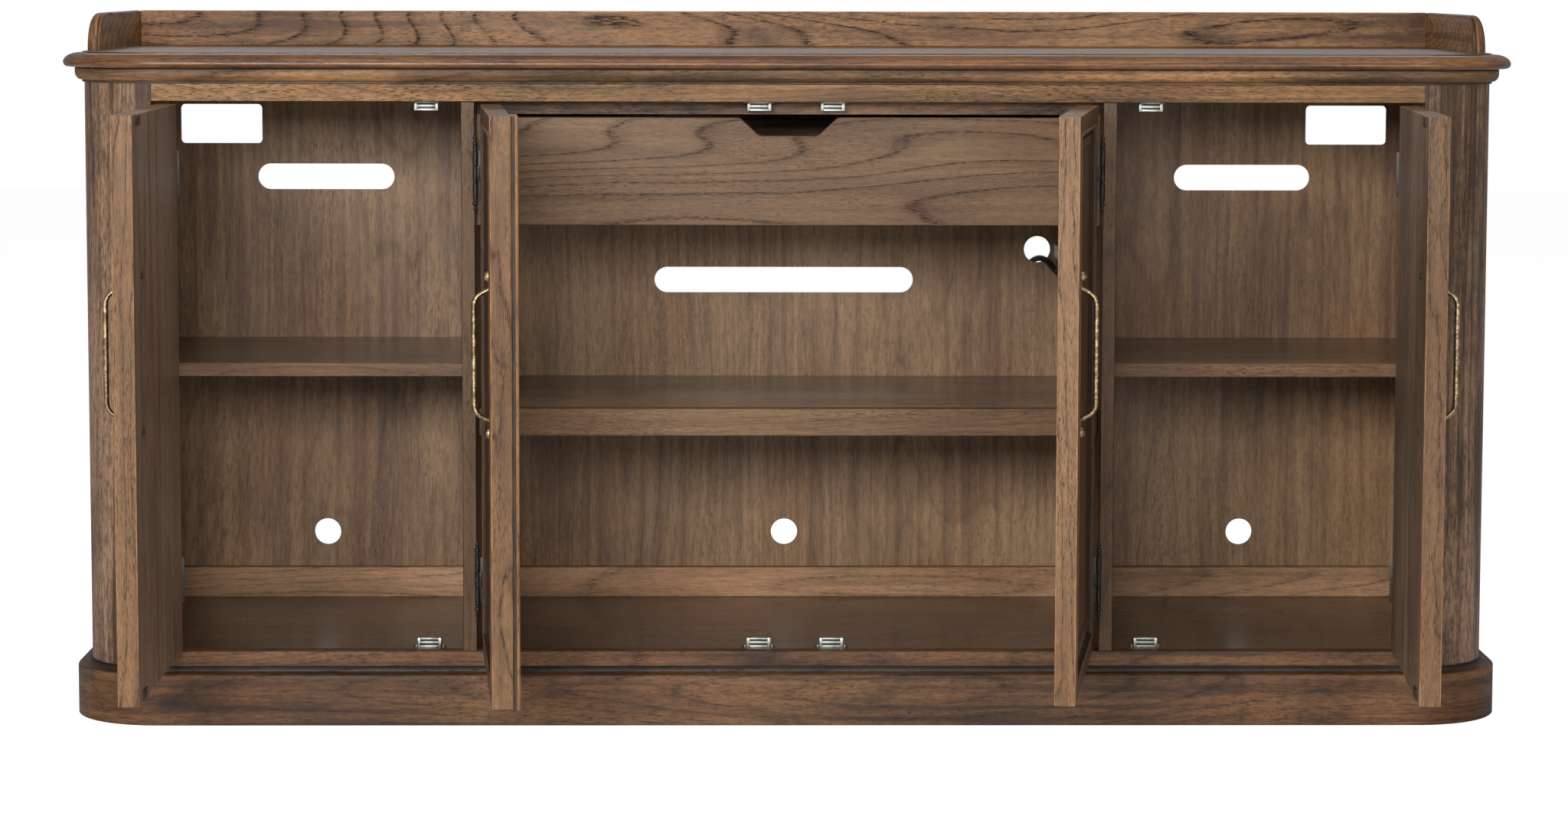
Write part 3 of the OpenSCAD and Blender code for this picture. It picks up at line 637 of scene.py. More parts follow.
def ovolo_profile():
    # the third number is painted shade: dark in the grooves above and below the ovolo
    o = node_box("cornice_right")[1].x - HALF_W
    z = CORNICE_Z
    curve = [(a, b, 0.35 if i < 1 else 0) for i, (a, b) in enumerate(arc(4, z + 12.5, o - 4, 10, -90, 0, 9))]
    return (
        [(-8, z, 0.5), (3, z, 0.6), (3, z + 2.5, 1)]
        + curve
        + [(o, TOP_UNDER - 1.6, 0.5), (o - 2, TOP_UNDER - 1.4, 1), (o - 2, TOP_UNDER, 1), (-8, TOP_UNDER, 0)]
    )


def base_profile():
    # the third number is painted shade: along the foot, up the cove and in the groove under the posts
    o = node_box("plinth_right")[1].x - HALF_W
    h = PLINTH_H
    bead = arc(o - 3.5, h - 11, 3.5, 3.5, 0, 90, 7)
    cove = arc(o - 3.5, h - 5, 11.5, 2.5, 270, 180, 8)
    return (
        [(-4, 0, 0), (o - 1, 0, 0.4), (o, 1, 0.2), (o, 3, 0), (o, h - 14, 0)]
        + [(a, b, 0) for a, b in bead]
        + [(a, b, 0.25 + 0.6 * i / 8) for i, (a, b) in enumerate(cove[1:])]
        + [(3, h - 1.8, 1), (1.2, h - 1.6, 1), (1.2, h, 0.8), (-4, h, 0)]
    )


def make_mouldings():
    front = [((x, 0), (0, -1)) for x in (-POST_X, -POST_X + 60, POST_X - 60, POST_X)]
    for kind, profile, end_y, finish in (
        ("cornice", ovolo_profile(), CASE_D, "case_wood"),
        ("plinth", base_profile(), node_box("plinth_right")[1].y, "plinth_wood"),
    ):
        side = corner_stations(end_y)
        shared = random_offset()
        run = with_length(side)[-1][2]
        for word, stations, start in (
            ("front", front, -POST_X), ("right", side, POST_X), ("left", mirrored(side), -POST_X - run),
        ):
            moulding(f"{kind}_{word}_run", stations, profile, finish, [f"{kind}_{word}"], start, shared)


# ---- gallery
def make_gallery():
    low, high = node_box("gallery_right")
    height, thick, rear = high.z - low.z, high.x - low.x, high.y
    # distance from the inner face, depth below the silhouette, painted shade
    section = [
        (0.0, 3.4, 0.5), (0.5, 1.4, 0), (1.4, 0.6, 0), (2.6, 0.9, 0), (3.3, 2.3, 1), (4.1, 2.1, 0.8),
        (4.8, 0.7, 0), (6.2, 0.1, 0),
    ] + [(a, height - b, 0) for a, b in arc(7.5, height - 17, thick - 7.5, 17, 90, 0, 9)]
    quarter = arc(low.y + height, 0, height, height, 180, 90, 16)
    line = [(a, b, ((a - low.y - height) / height, b / height)) for a, b in quarter]
    line.append((rear, height, (0, 1)))
    for side in (-1, 1):
        piece = Piece()
        rows = [
            [at(side * (low.x + x), y - n[0] * d, low.z + max(z - n[1] * d, 0.0)) for x, d, _ in section]
            for y, z, n in line
        ]
        coords = [[(x * MM, 0.0, s * MM) for x, _, _ in section] for s in running(line)]
        verts = piece.grid(rows, coords, painted_shade=[g for _, _, g in section])
        floor = [piece.bm.verts.new(at(side * (low.x + x), rear, low.z)) for x in (0, thick)]
        piece.cap([row[0] for row in verts] + [floor[0]], 2, 0, 1)
        piece.cap([row[-1] for row in verts] + [floor[1]], 2, 0, 1)
        piece.cap(verts[0] + [floor[1], floor[0]], 0, 2, 1)
        piece.cap(verts[-1] + [floor[1], floor[0]])
        word = "right" if side > 0 else "left"
        piece.finish(f"gallery_{word}_return", "case", "case_wood", "gallery", ["gallery_" + word])
    board("gallery_back", along_x, "gallery", "case_wood", 1.6, wear=0.7)


# ---- case
def make_post(side):
    """A quarter-round post; its grain wraps round the curve."""
    piece = Piece()
    heights = (PLINTH_H, CORNICE_Z)
    curve = arc(POST_X, POST_R, POST_R, POST_R, -90, 0, 26)
    rows = [[at(side * x, y, z) for z in heights] for x, y in curve]
    step = POST_R * math.pi / 2 / (len(curve) - 1)
    verts = piece.grid(rows, [[(step * i * MM, 0, z * MM) for z in heights] for i in range(len(curve))])
    heart = [piece.bm.verts.new(at(side * POST_X, POST_R, z)) for z in heights]
    for k in (0, 1):
        piece.cap([row[k] for row in verts] + [heart[k]])
    for row in (verts[0], verts[-1]):
        piece.cap([row[0], row[1], heart[1], heart[0]])
    node = "corner_post_" + ("right" if side > 0 else "left")
    piece.finish(node + "_turned", "case", "case_wood", "case_upright", [node], angle=40)


def copied(node, mapping, finish, slot, name=None):
    """The CAD solid's own mesh, cleaned, with grain coordinates: for boards with holes."""
    bm = bmesh.new()
    bm.from_mesh(frame["nodes"][node].data)
    bmesh.ops.remove_doubles(bm, verts=bm.verts, dist=1e-6)
    piece = Piece(bm)
    for f in bm.faces:
        f.material_index = 0
        for loop in f.loops:
            loop[piece.grain] = Vector(mapping(to_face(loop.vert.co))) + piece.offset
    piece.finish(name or node + "_panel", "case", slot, finish, [node])


def multi_board(node, boxes, mapping, finish, slot, bevel, wear=0.2):
    piece = Piece()
    for low, high in boxes:
        piece.box(low, high, mapping, bevel, wear=wear)
    piece.finish(node + "_boards", "case", slot, finish, [node], flat=True)


def make_case():
    for side in (-1, 1):
        make_post(side)
    for word in ("left", "right"):
        board("side_panel_" + word, side_z, "case_upright", "case_wood")
        # partitions and rails: the last number darkens their eased edges as painted shade
        board("partition_" + word, side_z, "partition", "case_wood", 0.7, painted_shade=0.9)
    board("top_rail", along_x, "rail_wood", "case_wood", 0.9, painted_shade=0.7)
    # the bottom and drawer rails take the darker plinth oak: painted shade, as they sit in shade
    board("bottom_rail", along_x, "plinth_wood", "case_wood", 0.9, painted_shade=0.7)
    board("drawer_rail", along_x, "plinth_wood", "case_wood", 0.6, painted_shade=0.6)
    board("plinth_back", along_x, "plinth_wood", "case_wood")
    for word in ("left", "centre", "right"):
        copied("back_panel_" + word, along_z, "back_veneer", "back_veneer")
    side_in = node_box("side_panel_right")[0].x
    for node, finish, slot in (
        ("sub_top", "partition", "case_wood"), ("floor_panel", "floor_wood", "shelf_wood"),
    ):
        low, high = node_box(node)
        spans = ((-POST_X, POST_X, low.y), (-side_in, -POST_X, POST_R), (POST_X, side_in, POST_R))
        boxes = [((a, front, low.z), (b, high.y, high.z)) for a, b, front in spans]
        multi_board(node, boxes, flat_x, finish, slot, 0.5, wear=0.3)
    low, high = node_box("back_battens")
    spans = ((-side_in, -PART_OUT), (-PART_IN, PART_IN), (PART_OUT, side_in))
    multi_board(
        "back_battens", [((a + 0.2, low.y, low.z), (b - 0.2, high.y, high.z)) for a, b in spans],
        along_x, "batten_wood", "batten_wood", 1.0,
    )


def make_shelves():
    for word, side in (("left", -1), ("right", 1)):
        low, high = node_box("shelf_" + word)
        inner, outer = sorted((abs(low.x), abs(high.x)))
        boxes = []
        for a, b, front in ((inner, POST_X - 1, low.y), (POST_X - 2, outer, POST_R + 1)):
            x0, x1 = sorted((side * a, side * b))
            boxes.append(((x0, front, low.z), (x1, high.y, high.z)))
        multi_board("shelf_" + word, boxes, flat_x, "shelf_wood", "shelf_wood", 1.0)
        strip = Piece()
        x0, x1 = sorted((side * inner, side * (POST_X - 1)))
        strip.box((x0 + 0.2, low.y - 0.4, low.z + 0.3), (x1 - 0.2, low.y + 4, high.z - 0.5), along_x, 0.8)
        strip.finish(f"shelf_{word}_lipping", "case", "shelf_wood", "shelf_edge", flat=True)
    low, high = node_box("shelf_centre")
    piece = Piece()
    piece.box(low, (high.x, low.y + 22, high.z), along_x, 1.2, material=1, wear=0.3)
    piece.box((low.x, low.y + 21.5, high.z - 19), high, flat_x, 0.5, wear=0.2)
    finishes = ["shelf_wood", "shelf_edge"]
    piece.finish("shelf_centre_board", "case", "shelf_wood", finishes, ["shelf_centre"], flat=True)


# ---- drawer
def make_drawer():
    low, high = node_box("drawer_front")
    half, y0, y1 = high.x, low.y, high.y
    top, bottom = high.z, low.z
    # scooped notch in the upper edge
    scoop = arc(32, -10, 13, 13, -90, -42, 8) + arc(65, -9, 9, 9, 138, 90, 8)
    right = [(x, top + z) for x, z in scoop]
    outline = (
        [(-half, bottom), (half, bottom), (half, top)]
        + right[::-1]
        + [(-x, z) for x, z in right]
        + [(-half, top)]
    )
    piece = Piece()
    rings = []
    for y, inset in ((y0, 1.2), (y0 + 0.35, 0.35), (y0 + 1.2, 0.0), (y1, 0.0)):
        ring = []
        for before, here, after in zip(outline[-1:] + outline, outline, outline[1:] + outline[:1]):
            p = Vector(here)
            d0, d1 = (p - Vector(before)).normalized(), (Vector(after) - p).normalized()
            inwards = Vector((-(d0.y + d1.y), d0.x + d1.x))
            inwards /= max(1e-6, inwards.length)
            cosine = max(0.5, inwards.dot(Vector((-d0.y, d0.x))))
            q = p + inwards * (inset / cosine)
            ring.append(at(q.x, y, q.y))
        rings.append(ring)
    verts = piece.grid(rings, [[along_x(to_face(p)) for p in ring] for ring in rings], wrap_v=True)
    piece.cap(verts[0], 2, 1, 0)
    piece.cap(verts[-1], 2, 1, 0)
    piece.finish("drawer_front_board", "drawer", "drawer_face", "drawer_face", ["drawer_front"], angle=15)
    low, high = node_box("drawer_walls")
    thick = 12
    inner = high.x - thick
    piece = Piece()
    for x0, x1 in ((-high.x, -inner), (inner, high.x)):
        piece.box((x0, low.y, low.z), (x1, high.y, high.z), along_y, 0.8)
    piece.box((-inner + 0.1, high.y - thick, low.z), (inner - 0.1, high.y, high.z), along_x, 0.8)
    piece.finish("drawer_wall_boards", "drawer", "drawer_wood", "drawer_wood", ["drawer_walls"], flat=True)
    board("drawer_bottom", flat_x, "drawer_wood", "drawer_wood", 0.3, "drawer", wear=0.0)
    copied("drawer_guides", along_y, "drawer_wood", "drawer_wood")


# ---- doors
PIN_OUT, PIN_GAP = 6.5, 1.2  # the hinge pin lies in front of the face, and this far from each edge
DOOR_T = 25.0
RECESS, MARGIN, MOULDING_W = 7.0, 20.0, 28.0  # the sunk field, its frame and the moulding in it
MEET_X = 8.0  # the inner doors meet right of the middle
# door: pin's x in millimetres, and how far open it stands at rest in degrees
DOORS = {
    joint["child"].removesuffix("_door"): (joint["pos_m"][0] / MM, -joint["range_deg"][0])
    for joint in frame["joints"] if joint["type"] == "hinge"
}
DOOR_Z = tuple(corner.z for corner in node_box("door_outer_left"))
OUTER_W = POST_X - PART_OUT - 4 * PIN_GAP
WIDTHS = {
    "outer_left": OUTER_W,
    "outer_right": OUTER_W,
    "inner_left": abs(DOORS["inner_left"][0]) + MEET_X - 2 * PIN_GAP,
    "inner_right": abs(DOORS["inner_right"][0]) - MEET_X - 2 * PIN_GAP,
}


def door_place(name):
    """From the closed left-hand door, pin at x 0 and face at y 0, to the row frame."""
    pin, angle = DOORS[name]
    side = math.copysign(1, pin)
    c, s = math.cos(math.radians(angle)), -math.sin(math.radians(angle))

    def place(p):
        x, y = p[0], p[1] + PIN_OUT
        return at(pin - side * (x * c - y * s), x * s + y * c - PIN_OUT, p[2])

    return place


def frame_loops(piece, place, width, loops, mapping):
    """Rectangular rings (inset, depth, painted shade, wear, material) joined into a mitred surface."""
    rows = []
    for inset, depth, *_ in loops:
        x0, x1 = PIN_GAP + inset, PIN_GAP + width - inset
        z0, z1 = DOOR_Z[0] + inset, DOOR_Z[1] - inset
        rows.append([(x0, depth, z0), (x1, depth, z0), (x1, depth, z1), (x0, depth, z1)])
    verts = [[piece.bm.verts.new(place(Vector(p))) for p in row] for row in rows]
    for i, (*_, wear, material) in enumerate(loops[:-1]):
        for k in range(4):
            n = (k + 1) % 4
            corners = ((i, k), (i + 1, k), (i + 1, n), (i, n))
            spots, painted_shade = zip(*((mapping(rows[a][b], k), loops[a][2]) for a, b in corners))
            piece.face([verts[a][b] for a, b in corners], spots, painted_shade, wear, material)
    return verts, rows


def make_door(name):
    width = WIDTHS[name]
    place = door_place(name)
    body = name + "_door"

    # slab with eased edges and a sunk field, whose walls carry painted shade
    piece = Piece()
    t, m, inner = DOOR_T, MARGIN, MARGIN + MOULDING_W
    loops = [
        (1.0, t, 0, 0.6, 0), (0.3, t - 0.25, 0, 0.9, 0), (0.0, t - 1.0, 0, 0, 0), (0.0, 1.3, 0, 0.9, 0),
        (0.35, 0.35, 0, 0.6, 0), (1.3, 0.0, 0, 0, 1), (m - 0.8, 0.0, 0.3, 0, 1), (m - 0.3, 0.2, 1, 0, 1),
        (m - 0.3, RECESS, 1, 0, 1), (inner - 2, RECESS, 1, 0, 1), (inner + 2, RECESS, 0.1, 0, 1),
    ]
    verts, rows = frame_loops(piece, place, width, loops, lambda p, _: along_z(p))
    for ring, row, material in ((verts[0], rows[0], 2), (verts[-1], rows[-1], 1)):
        piece.face(ring, [along_z(p) for p in row], material=material)
    piece.finish(
        "door_slab_" + name, body, "door_wood", ["door_wood", "door_front", "door_face"],
        ["door_" + name], angle=12,
    )

    # applied moulding: a bead, a steep cove and a shallow toe, mitred at the corners; painted shade lies in
    # the cove and at both edges
    def member(p, k):
        across, through, along = (along_z if k % 2 else along_x)(p)
        return (across + 0.3 * k, through, along + 1.7 * k)

    bead = arc(2.6, 0, -2.4, -1.0, 0, 180, 6)
    cove = arc(11.8, 0.4, -6.4, 5.9, 0, 90, 6)
    profile = (
        [(0.0, 6.98, 1), (0.0, 0.3, 1)]
        + [(u, d, 0) for u, d in bead]
        + [(5.3, 0.2, 0.9)]
        + [(u, d, 0.75 + 0.25 * i / 6) for i, (u, d) in enumerate(cove)]
        + [(12.4, 5.1, 0.8), (13.4, 4.8, 0.1), (24.0, 5.9, 0)]
        + [(26.6, 6.25, 0.3), (27.8, 6.7, 1), (28.0, 6.98, 1)]
    )
    piece = Piece()
    ring = [(MARGIN + u, d, g, 0.7 if d < 0 else 0, 0) for u, d, g in profile]
    frame_loops(piece, place, width, ring + ring[:1], member)
    piece.finish("door_moulding_" + name, body, "door_wood", "door_front", ["moulding_" + name], angle=35)
    make_pull(name, place, width)
    make_plates(name, place)


PULL_X, PULL_Z = 60, 499  # from the door's free edge, and up from the floor
PULL_HALF, PULL_REACH, GRIP_END = 91.5, 24.0, 35.5
# distance in from the end of the bail, distance out from the door, and radius
BAIL = (
    (2, 5.6, 2.7), (6, 5.0, 2.5), (9.5, 4.6, 2.5), (12.2, 4.6, 2.6), (14, 5.3, 2.7), (15.2, 6.9, 2.75),
    (16.2, 9, 2.8), (17.4, 11.4, 2.85), (18.8, 14, 2.9), (20.6, 17, 3.0), (22.8, 19.6, 3.05),
    (25.4, 21.6, 3.1), (28.6, 23.1, 3.15), (32, 23.8, 3.2), (GRIP_END, PULL_REACH, 3.2),
)


def make_pull(name, place, width):
    """Hammered bail: a straight grip, two bends, and a ball on a rosette at each end."""
    x = PIN_GAP + width - PULL_X
    piece = Piece()
    straight = 26
    steps = [(PULL_HALF - drop, out, r) for drop, out, r in BAIL]
    grip = [((PULL_HALF - GRIP_END) * (1 - 2 * i / straight), PULL_REACH, 3.25) for i in range(1, straight)]
    steps += grip + [(-z, out, r) for z, out, r in steps[::-1]]
    points = [(x, RECESS - out, PULL_Z + z) for z, out, _ in steps]
    piece.tube(points, [r for *_, r in steps], place, 16, 0.035)
    turns = [math.pi * i / 12 for i in range(4, 12)]
    ball = [(6.7 * math.sin(a) * (0.97, 1)[i % 2], 6.6 - 6.4 * math.cos(a)) for i, a in enumerate(turns)]
    rosette = [(5.6, 0.1), (5.9, 0.6), (5.9, 1.3), (5.2, 1.9), (4.0, 2.2)]
    for z in (PULL_Z - PULL_HALF, PULL_Z + PULL_HALF):
        outward = local((x, RECESS, z), place, (0, 2, 1), (1, -1, 1))
        piece.lathe(rosette + ball + [(0.4, 13.0)], outward, 18)
        # stem through the door and the slotted screw head on the inner face
        piece.lathe([(1.9, -18.0), (1.9, 0.4)], outward, 12)
        inward = local((x, DOOR_T, z), place, (0, 2, 1))
        piece.lathe([(4.0, 0.05), (4.0, 0.6), (3.4, 1.4), (2.0, 1.9), (0.3, 2.0)], inward, 18, 1)
        slot = ((x - 2.6, DOOR_T + 1.35, z - 0.4), (x + 2.6, DOOR_T + 1.97, z + 0.4))
        piece.box(*slot, along_z, 0.05, place, material=1)
    finishes = ["antique_brass", "black_iron"]
    piece.finish("pull_bail_" + name, name + "_door", "antique_brass", finishes, ["pull_" + name], angle=50)


HINGE_Z = (FLOOR_Z + 91.5, OPENING_TOP - 89)
LEAF_H, LEAF_T = 57.0, 1
KNUCKLE_R, MID_KNUCKLE, KNUCKLE_GAP = 3.2, 9.5, 0.4  # radius, half height of the middle one, gap
TAB = PIN_OUT - KNUCKLE_R - 0.7  # how far a leaf stands out of the face
IRON = ["black_iron", "leaf_iron"]
FINIAL = (
    (3.2, 0.0), (3.3, 0.4), (3.3, 1.4), (2.4, 1.7), (2.3, 3.0), (3.2, 3.3), (3.3, 4.3), (2.1, 4.8),
    (1.9, 5.8), (2.5, 6.3), (3.1, 7.4), (3.3, 8.8), (3.1, 10.2), (2.4, 11.4), (1.6, 12.1), (1.5, 13.9),
    (2.6, 14.4), (3.0, 15.2), (2.7, 16.0), (2.1, 16.9), (1.8, 18.4), (1.0, 20.6), (0.2, 21.9),
)
KNUCKLE_END = ((1.55, 0), (2.7, 0), (3.2, 0.5), (3.2, 1.6), (2.85, 1.9), (2.85, 2.5), (3.2, 2.8))


def knuckle(z0, z1):
    return [(r, z0 + d) for r, d in KNUCKLE_END] + [(r, z1 - d) for r, d in KNUCKLE_END[::-1]]


def leaf(piece, x, depth, z, place, knuckles):
    """A hinge leaf from x on, with a tongue to the knuckle over each range of height."""
    half = LEAF_H / 2
    piece.box((x, -TAB, z - half), (x + LEAF_T, depth, z + half), along_z, 0.25, place, 1)
    for z0, z1 in knuckles:
        piece.box((x, -PIN_OUT + 2, z + z0), (x + LEAF_T, 0, z + z1), along_z, 0.2, place, 1)
        piece.lathe(knuckle(z0, z1), local((0, -PIN_OUT, z), place), 22)


STRIKE_HALF, STRIKE_H, STRIKE_T = 15, 12, 1.8
CATCH_X = {"outer_left": -453, "inner_left": -37, "inner_right": 55, "outer_right": 453}


def make_plates(name, place):
    """Door leaves of the two hinges, with the middle knuckle, and the two strikes."""
    piece = Piece()
    for hinge_z in HINGE_Z:
        leaf(piece, PIN_GAP - LEAF_T, 28.2, hinge_z, place, [(-MID_KNUCKLE, MID_KNUCKLE)])
    x = abs(DOORS[name][0]) - abs(CATCH_X[name])
    for z in (FLOOR_Z + 4, OPENING_TOP - STRIKE_H - 4):
        low, high = (x - STRIKE_HALF, DOOR_T, z), (x + STRIKE_HALF, DOOR_T + STRIKE_T, z + STRIKE_H)
        piece.box(low, high, along_z, 0.5, place, 1)
        for dx in (-9, 9):
            turn = local((x + dx, DOOR_T + STRIKE_T - 0.05, z + STRIKE_H / 2), place, (0, 2, 1))
            piece.lathe([(2.6, -0.4), (2.6, 0.02), (1.6, 0.04), (0.2, 0.045)], turn, 14)
    label = "hinge_and_strike_plates_" + name
    piece.finish(label, name + "_door", "black_iron", IRON, ["plates_" + name], angle=40)


def make_case_hinges():
    """Leaves screwed to the edges of the openings, outer knuckles, finials and pins."""
    piece = Piece()
    half, inner = LEAF_H / 2, MID_KNUCKLE + KNUCKLE_GAP
    for pin, _ in DOORS.values():
        place = local((pin, 0, 0), signs=(-math.copysign(1, pin), 1, 1))
        for z in HINGE_Z:
            leaf(piece, -PIN_GAP, 24, z, place, [(-half, -inner), (inner, half)])
            for k in (-1, 1):
                piece.lathe(FINIAL, local((0, -PIN_OUT, z + k * half), place, signs=(1, 1, k)), 20)
            piece.lathe([(1.4, -half), (1.4, half)], local((0, -PIN_OUT, z), place), 14)
    piece.finish("case_hinges", "case", "black_iron", IRON, ["hinge_case_leaves"], angle=40)


def make_astragal():
    """Strip on the inner left door that laps over the right one, with a rabbet against the door."""
    piece = Piece()
    place = door_place("inner_left")
    edge, t = PIN_GAP + WIDTHS["inner_left"], DOOR_T
    # the third number is painted shade: dark where the rabbet meets the door
    steps = (
        (-14, 0, 0), (0, 0, 1), (0, 0.4, 1), (5.6, 0.4, 1), (6, 0.8, 1), (6, 3.2, 0.8), (6.6, 3.6, 0.8),
        (7.4, 3.6, 0.4), (8, 4.1, 0),
    )
    outline = [(edge + x, t + y) for x, y, _ in steps]
    outline += arc(edge + 6, t + 6, 2, 2, 0, 90, 5) + arc(edge - 11, t + 5, 3, 3, 90, 180, 5)
    shade = [g for *_, g in steps] + [0] * (len(outline) - len(steps))
    points = [[Vector((x, y, z)) for x, y in outline] for z in DOOR_Z]
    coords = [[along_z(p) for p in row] for row in points]
    verts = piece.grid([[place(p) for p in row] for row in points], coords, wrap_v=True, painted_shade=shade)
    for ring, row in zip(verts, coords):
        piece.face(list(ring), row)
    piece.finish("astragal_strip", "inner_left_door", "door_wood", "door_wood", ["astragal"], angle=30)


# ---- catches, pins, outlet
CATCH_Y = 27.8
CATCH_HALF, CATCH_H = 15, 12


def make_catches():
    """Magnetic catches: a case with two pole slots on a base with a screwed tab at each end."""
    piece = Piece()
    w, h = CATCH_HALF, CATCH_H
    boxes = [  # low and high corner, bevel, material: the case, its front frame and the two poles
        ((-w, 3.5, 0), (w, 13, h), 0.5, 0),
        ((-w, 0.0, 0), (-11.2, 4, h), 0.4, 0), ((11.2, 0.0, 0), (w, 4, h), 0.4, 0),
        *(((-11.4, y, a), (11.4, 4, b), 0.3, 0) for y, a, b in ((0, 0, 2.4), (0.3, 4.5, 7.4), (0.3, 9.5, h))),
        *(((-11.0, 1.9, z - 0.05), (11.0, 3.6, z + 2.0), 0.1, 1) for z in (2.5, 7.5)),
    ]
    for x in CATCH_X.values():
        for z, s in ((FLOOR_Z, 1), (OPENING_TOP, -1)):
            place = local((x, CATCH_Y, z), signs=(1, 1, s))
            for low, high, bevel, material in boxes:
                piece.box(low, high, along_z, bevel, place, material)
            for end in (-17, 17):
                tab = local((end, 7, 0), place)
                piece.lathe([(3.5, 0.02), (3.6, 0.3), (3.6, 1.0), (3.2, 1.35), (2.4, 1.4)], tab, 20)
                piece.lathe([(2.2, 1.3), (2.15, 1.9), (1.5, 2.6), (0.2, 2.8)], tab, 16)
    finishes = ["nickel", "black_plastic"]
    piece.finish("magnetic_catches", "case", "nickel", finishes, ["door_catches"], angle=40)


def make_shelf_pins():
    """Round brass pins in the walls under each shelf."""
    piece = Piece()
    centre_z, side_z = (node_box(node)[0].z - 2.5 for node in ("shelf_centre", "shelf_left"))
    wall = node_box("side_panel_right")[0].x
    rows = ((PART_OUT, (140, 410), side_z), (wall, (140, 410), side_z), (PART_IN, (90, 400), centre_z))
    for s in (-1, 1):
        for x, ys, z in rows:
            for y in ys:
                place = local((s * x, y, z), axes=(2, 0, 1), signs=(s, 1, 1))
                piece.lathe([(2.2, -8), (2.45, -7.6), (2.45, 7.6), (2.2, 8)], place, 18)
    piece.finish("shelf_pin_set", "case", "pin_brass", "pin_brass", ["shelf_pins"], angle=40)


def make_outlet():
    low, high = node_box("power_outlet")
    piece = Piece()
    piece.box(low, high, along_z, 2.2)
    for z in (low.z + 7, high.z - 6):  # a raised line above and below the face
        piece.box((low.x - 0.35, low.y + 6, z - 0.5), (low.x + 0.4, high.y - 6, z + 0.5), along_z, 0.1)
    piece.finish("outlet_housing", "case", "black_plastic", "black_plastic", ["power_outlet"], angle=25)
    copied("outlet_face", along_z, "pale_plastic", "pale_plastic", "outlet_face_plate")


# ---- cord
CORD_R, CORD_BEND, CORD_HEADING = 4.0, 36.0, math.radians(50)  # heading: where it turns to at the floor
COIL, COIL_R = (318.0, 539.7), (32.5, 48.5)  # middle, and the radii of its inner and outer turns
PLUG, PLUG_Z = (242.0, 546.7), 11.0
PLUG_SIDES, PLUG_POWER = 28, 0.55  # points round the body, and the power that squares its outline
BLADE_X, BLADE_HALF = 6.35, 0.75
WAY_OUT = [
    (376.6, 386.13, 543), (375.79, 393.31, 539.59), (374.28, 400.91, 537.7), (371.92, 409.06, 537.43),
    (369.1, 416.39, 538.82), (365.86, 423.07, 541.5), (362.23, 429.15, 545.9), (358.62, 434.52, 550.4),
    (354.51, 440.61, 553.5), (350.11, 447.13, 554.9), (345.66, 453.74, 554.4), (341.11, 460.47, 552.0),
    (337.26, 466.19, 548.1), (334.01, 471, 542.9), (331.42, 474.85, 536.12), (329.92, 477.07, 528.6),
    (329.41, 477.83, 520.67),
]


def cord_route():
    """Centre line in millimetres: out of the hole, down, round the coil and on to the plug."""
    points = list(WAY_OUT)
    fx, fy, _ = points[-1]
    points += [(fx, fy, z) for z in (440, 360, 280, 200, 120, 60)]
    way_x, way_y = math.cos(CORD_HEADING), math.sin(CORD_HEADING)
    for d, z in arc(CORD_BEND, CORD_R + CORD_BEND, -CORD_BEND, -CORD_BEND, 0, 90, 8):
        points.append((fx + d * way_x, fy + d * way_y, z))
    # inwards on the floor, up on to itself, and outwards again
    low, high = CORD_R, 3 * CORD_R
    r0, r1 = COIL_R
    start = math.radians(-40)
    turns_in, rise, turns_out = 4 * math.pi, math.pi / 2, math.radians(760)
    whole = turns_in + rise + turns_out
    n = round(whole / math.radians(10))
    for i in range(n + 1):
        t = whole * i / n
        if t < turns_in:
            r, z = r1 - (r1 - r0) * t / turns_in, low
        elif t < turns_in + rise:
            f = (t - turns_in) / rise
            r, z = r0, low + (high - low) * (3 * f * f - 2 * f**3)
        else:
            f = (t - turns_in - rise) / turns_out
            r, z = r0 + (r1 - r0) * f, high
        points.append((COIL[0] + r * math.cos(start + t), COIL[1] + r * math.sin(start + t), z))
    tail_x, tail_y = PLUG[0] + CORD_BEND, COIL[1] + r1
    for f in (0.25, 0.5, 0.75):
        points.append((COIL[0] - (COIL[0] - tail_x) * f, tail_y, high - (high - PLUG_Z) * f))
    turn = arc(tail_x, tail_y - CORD_BEND, CORD_BEND, CORD_BEND, 90, 180, 6)
    return points + [(x, y, PLUG_Z) for x, y in turn + [(PLUG[0], PLUG[1] + 0.3)]]


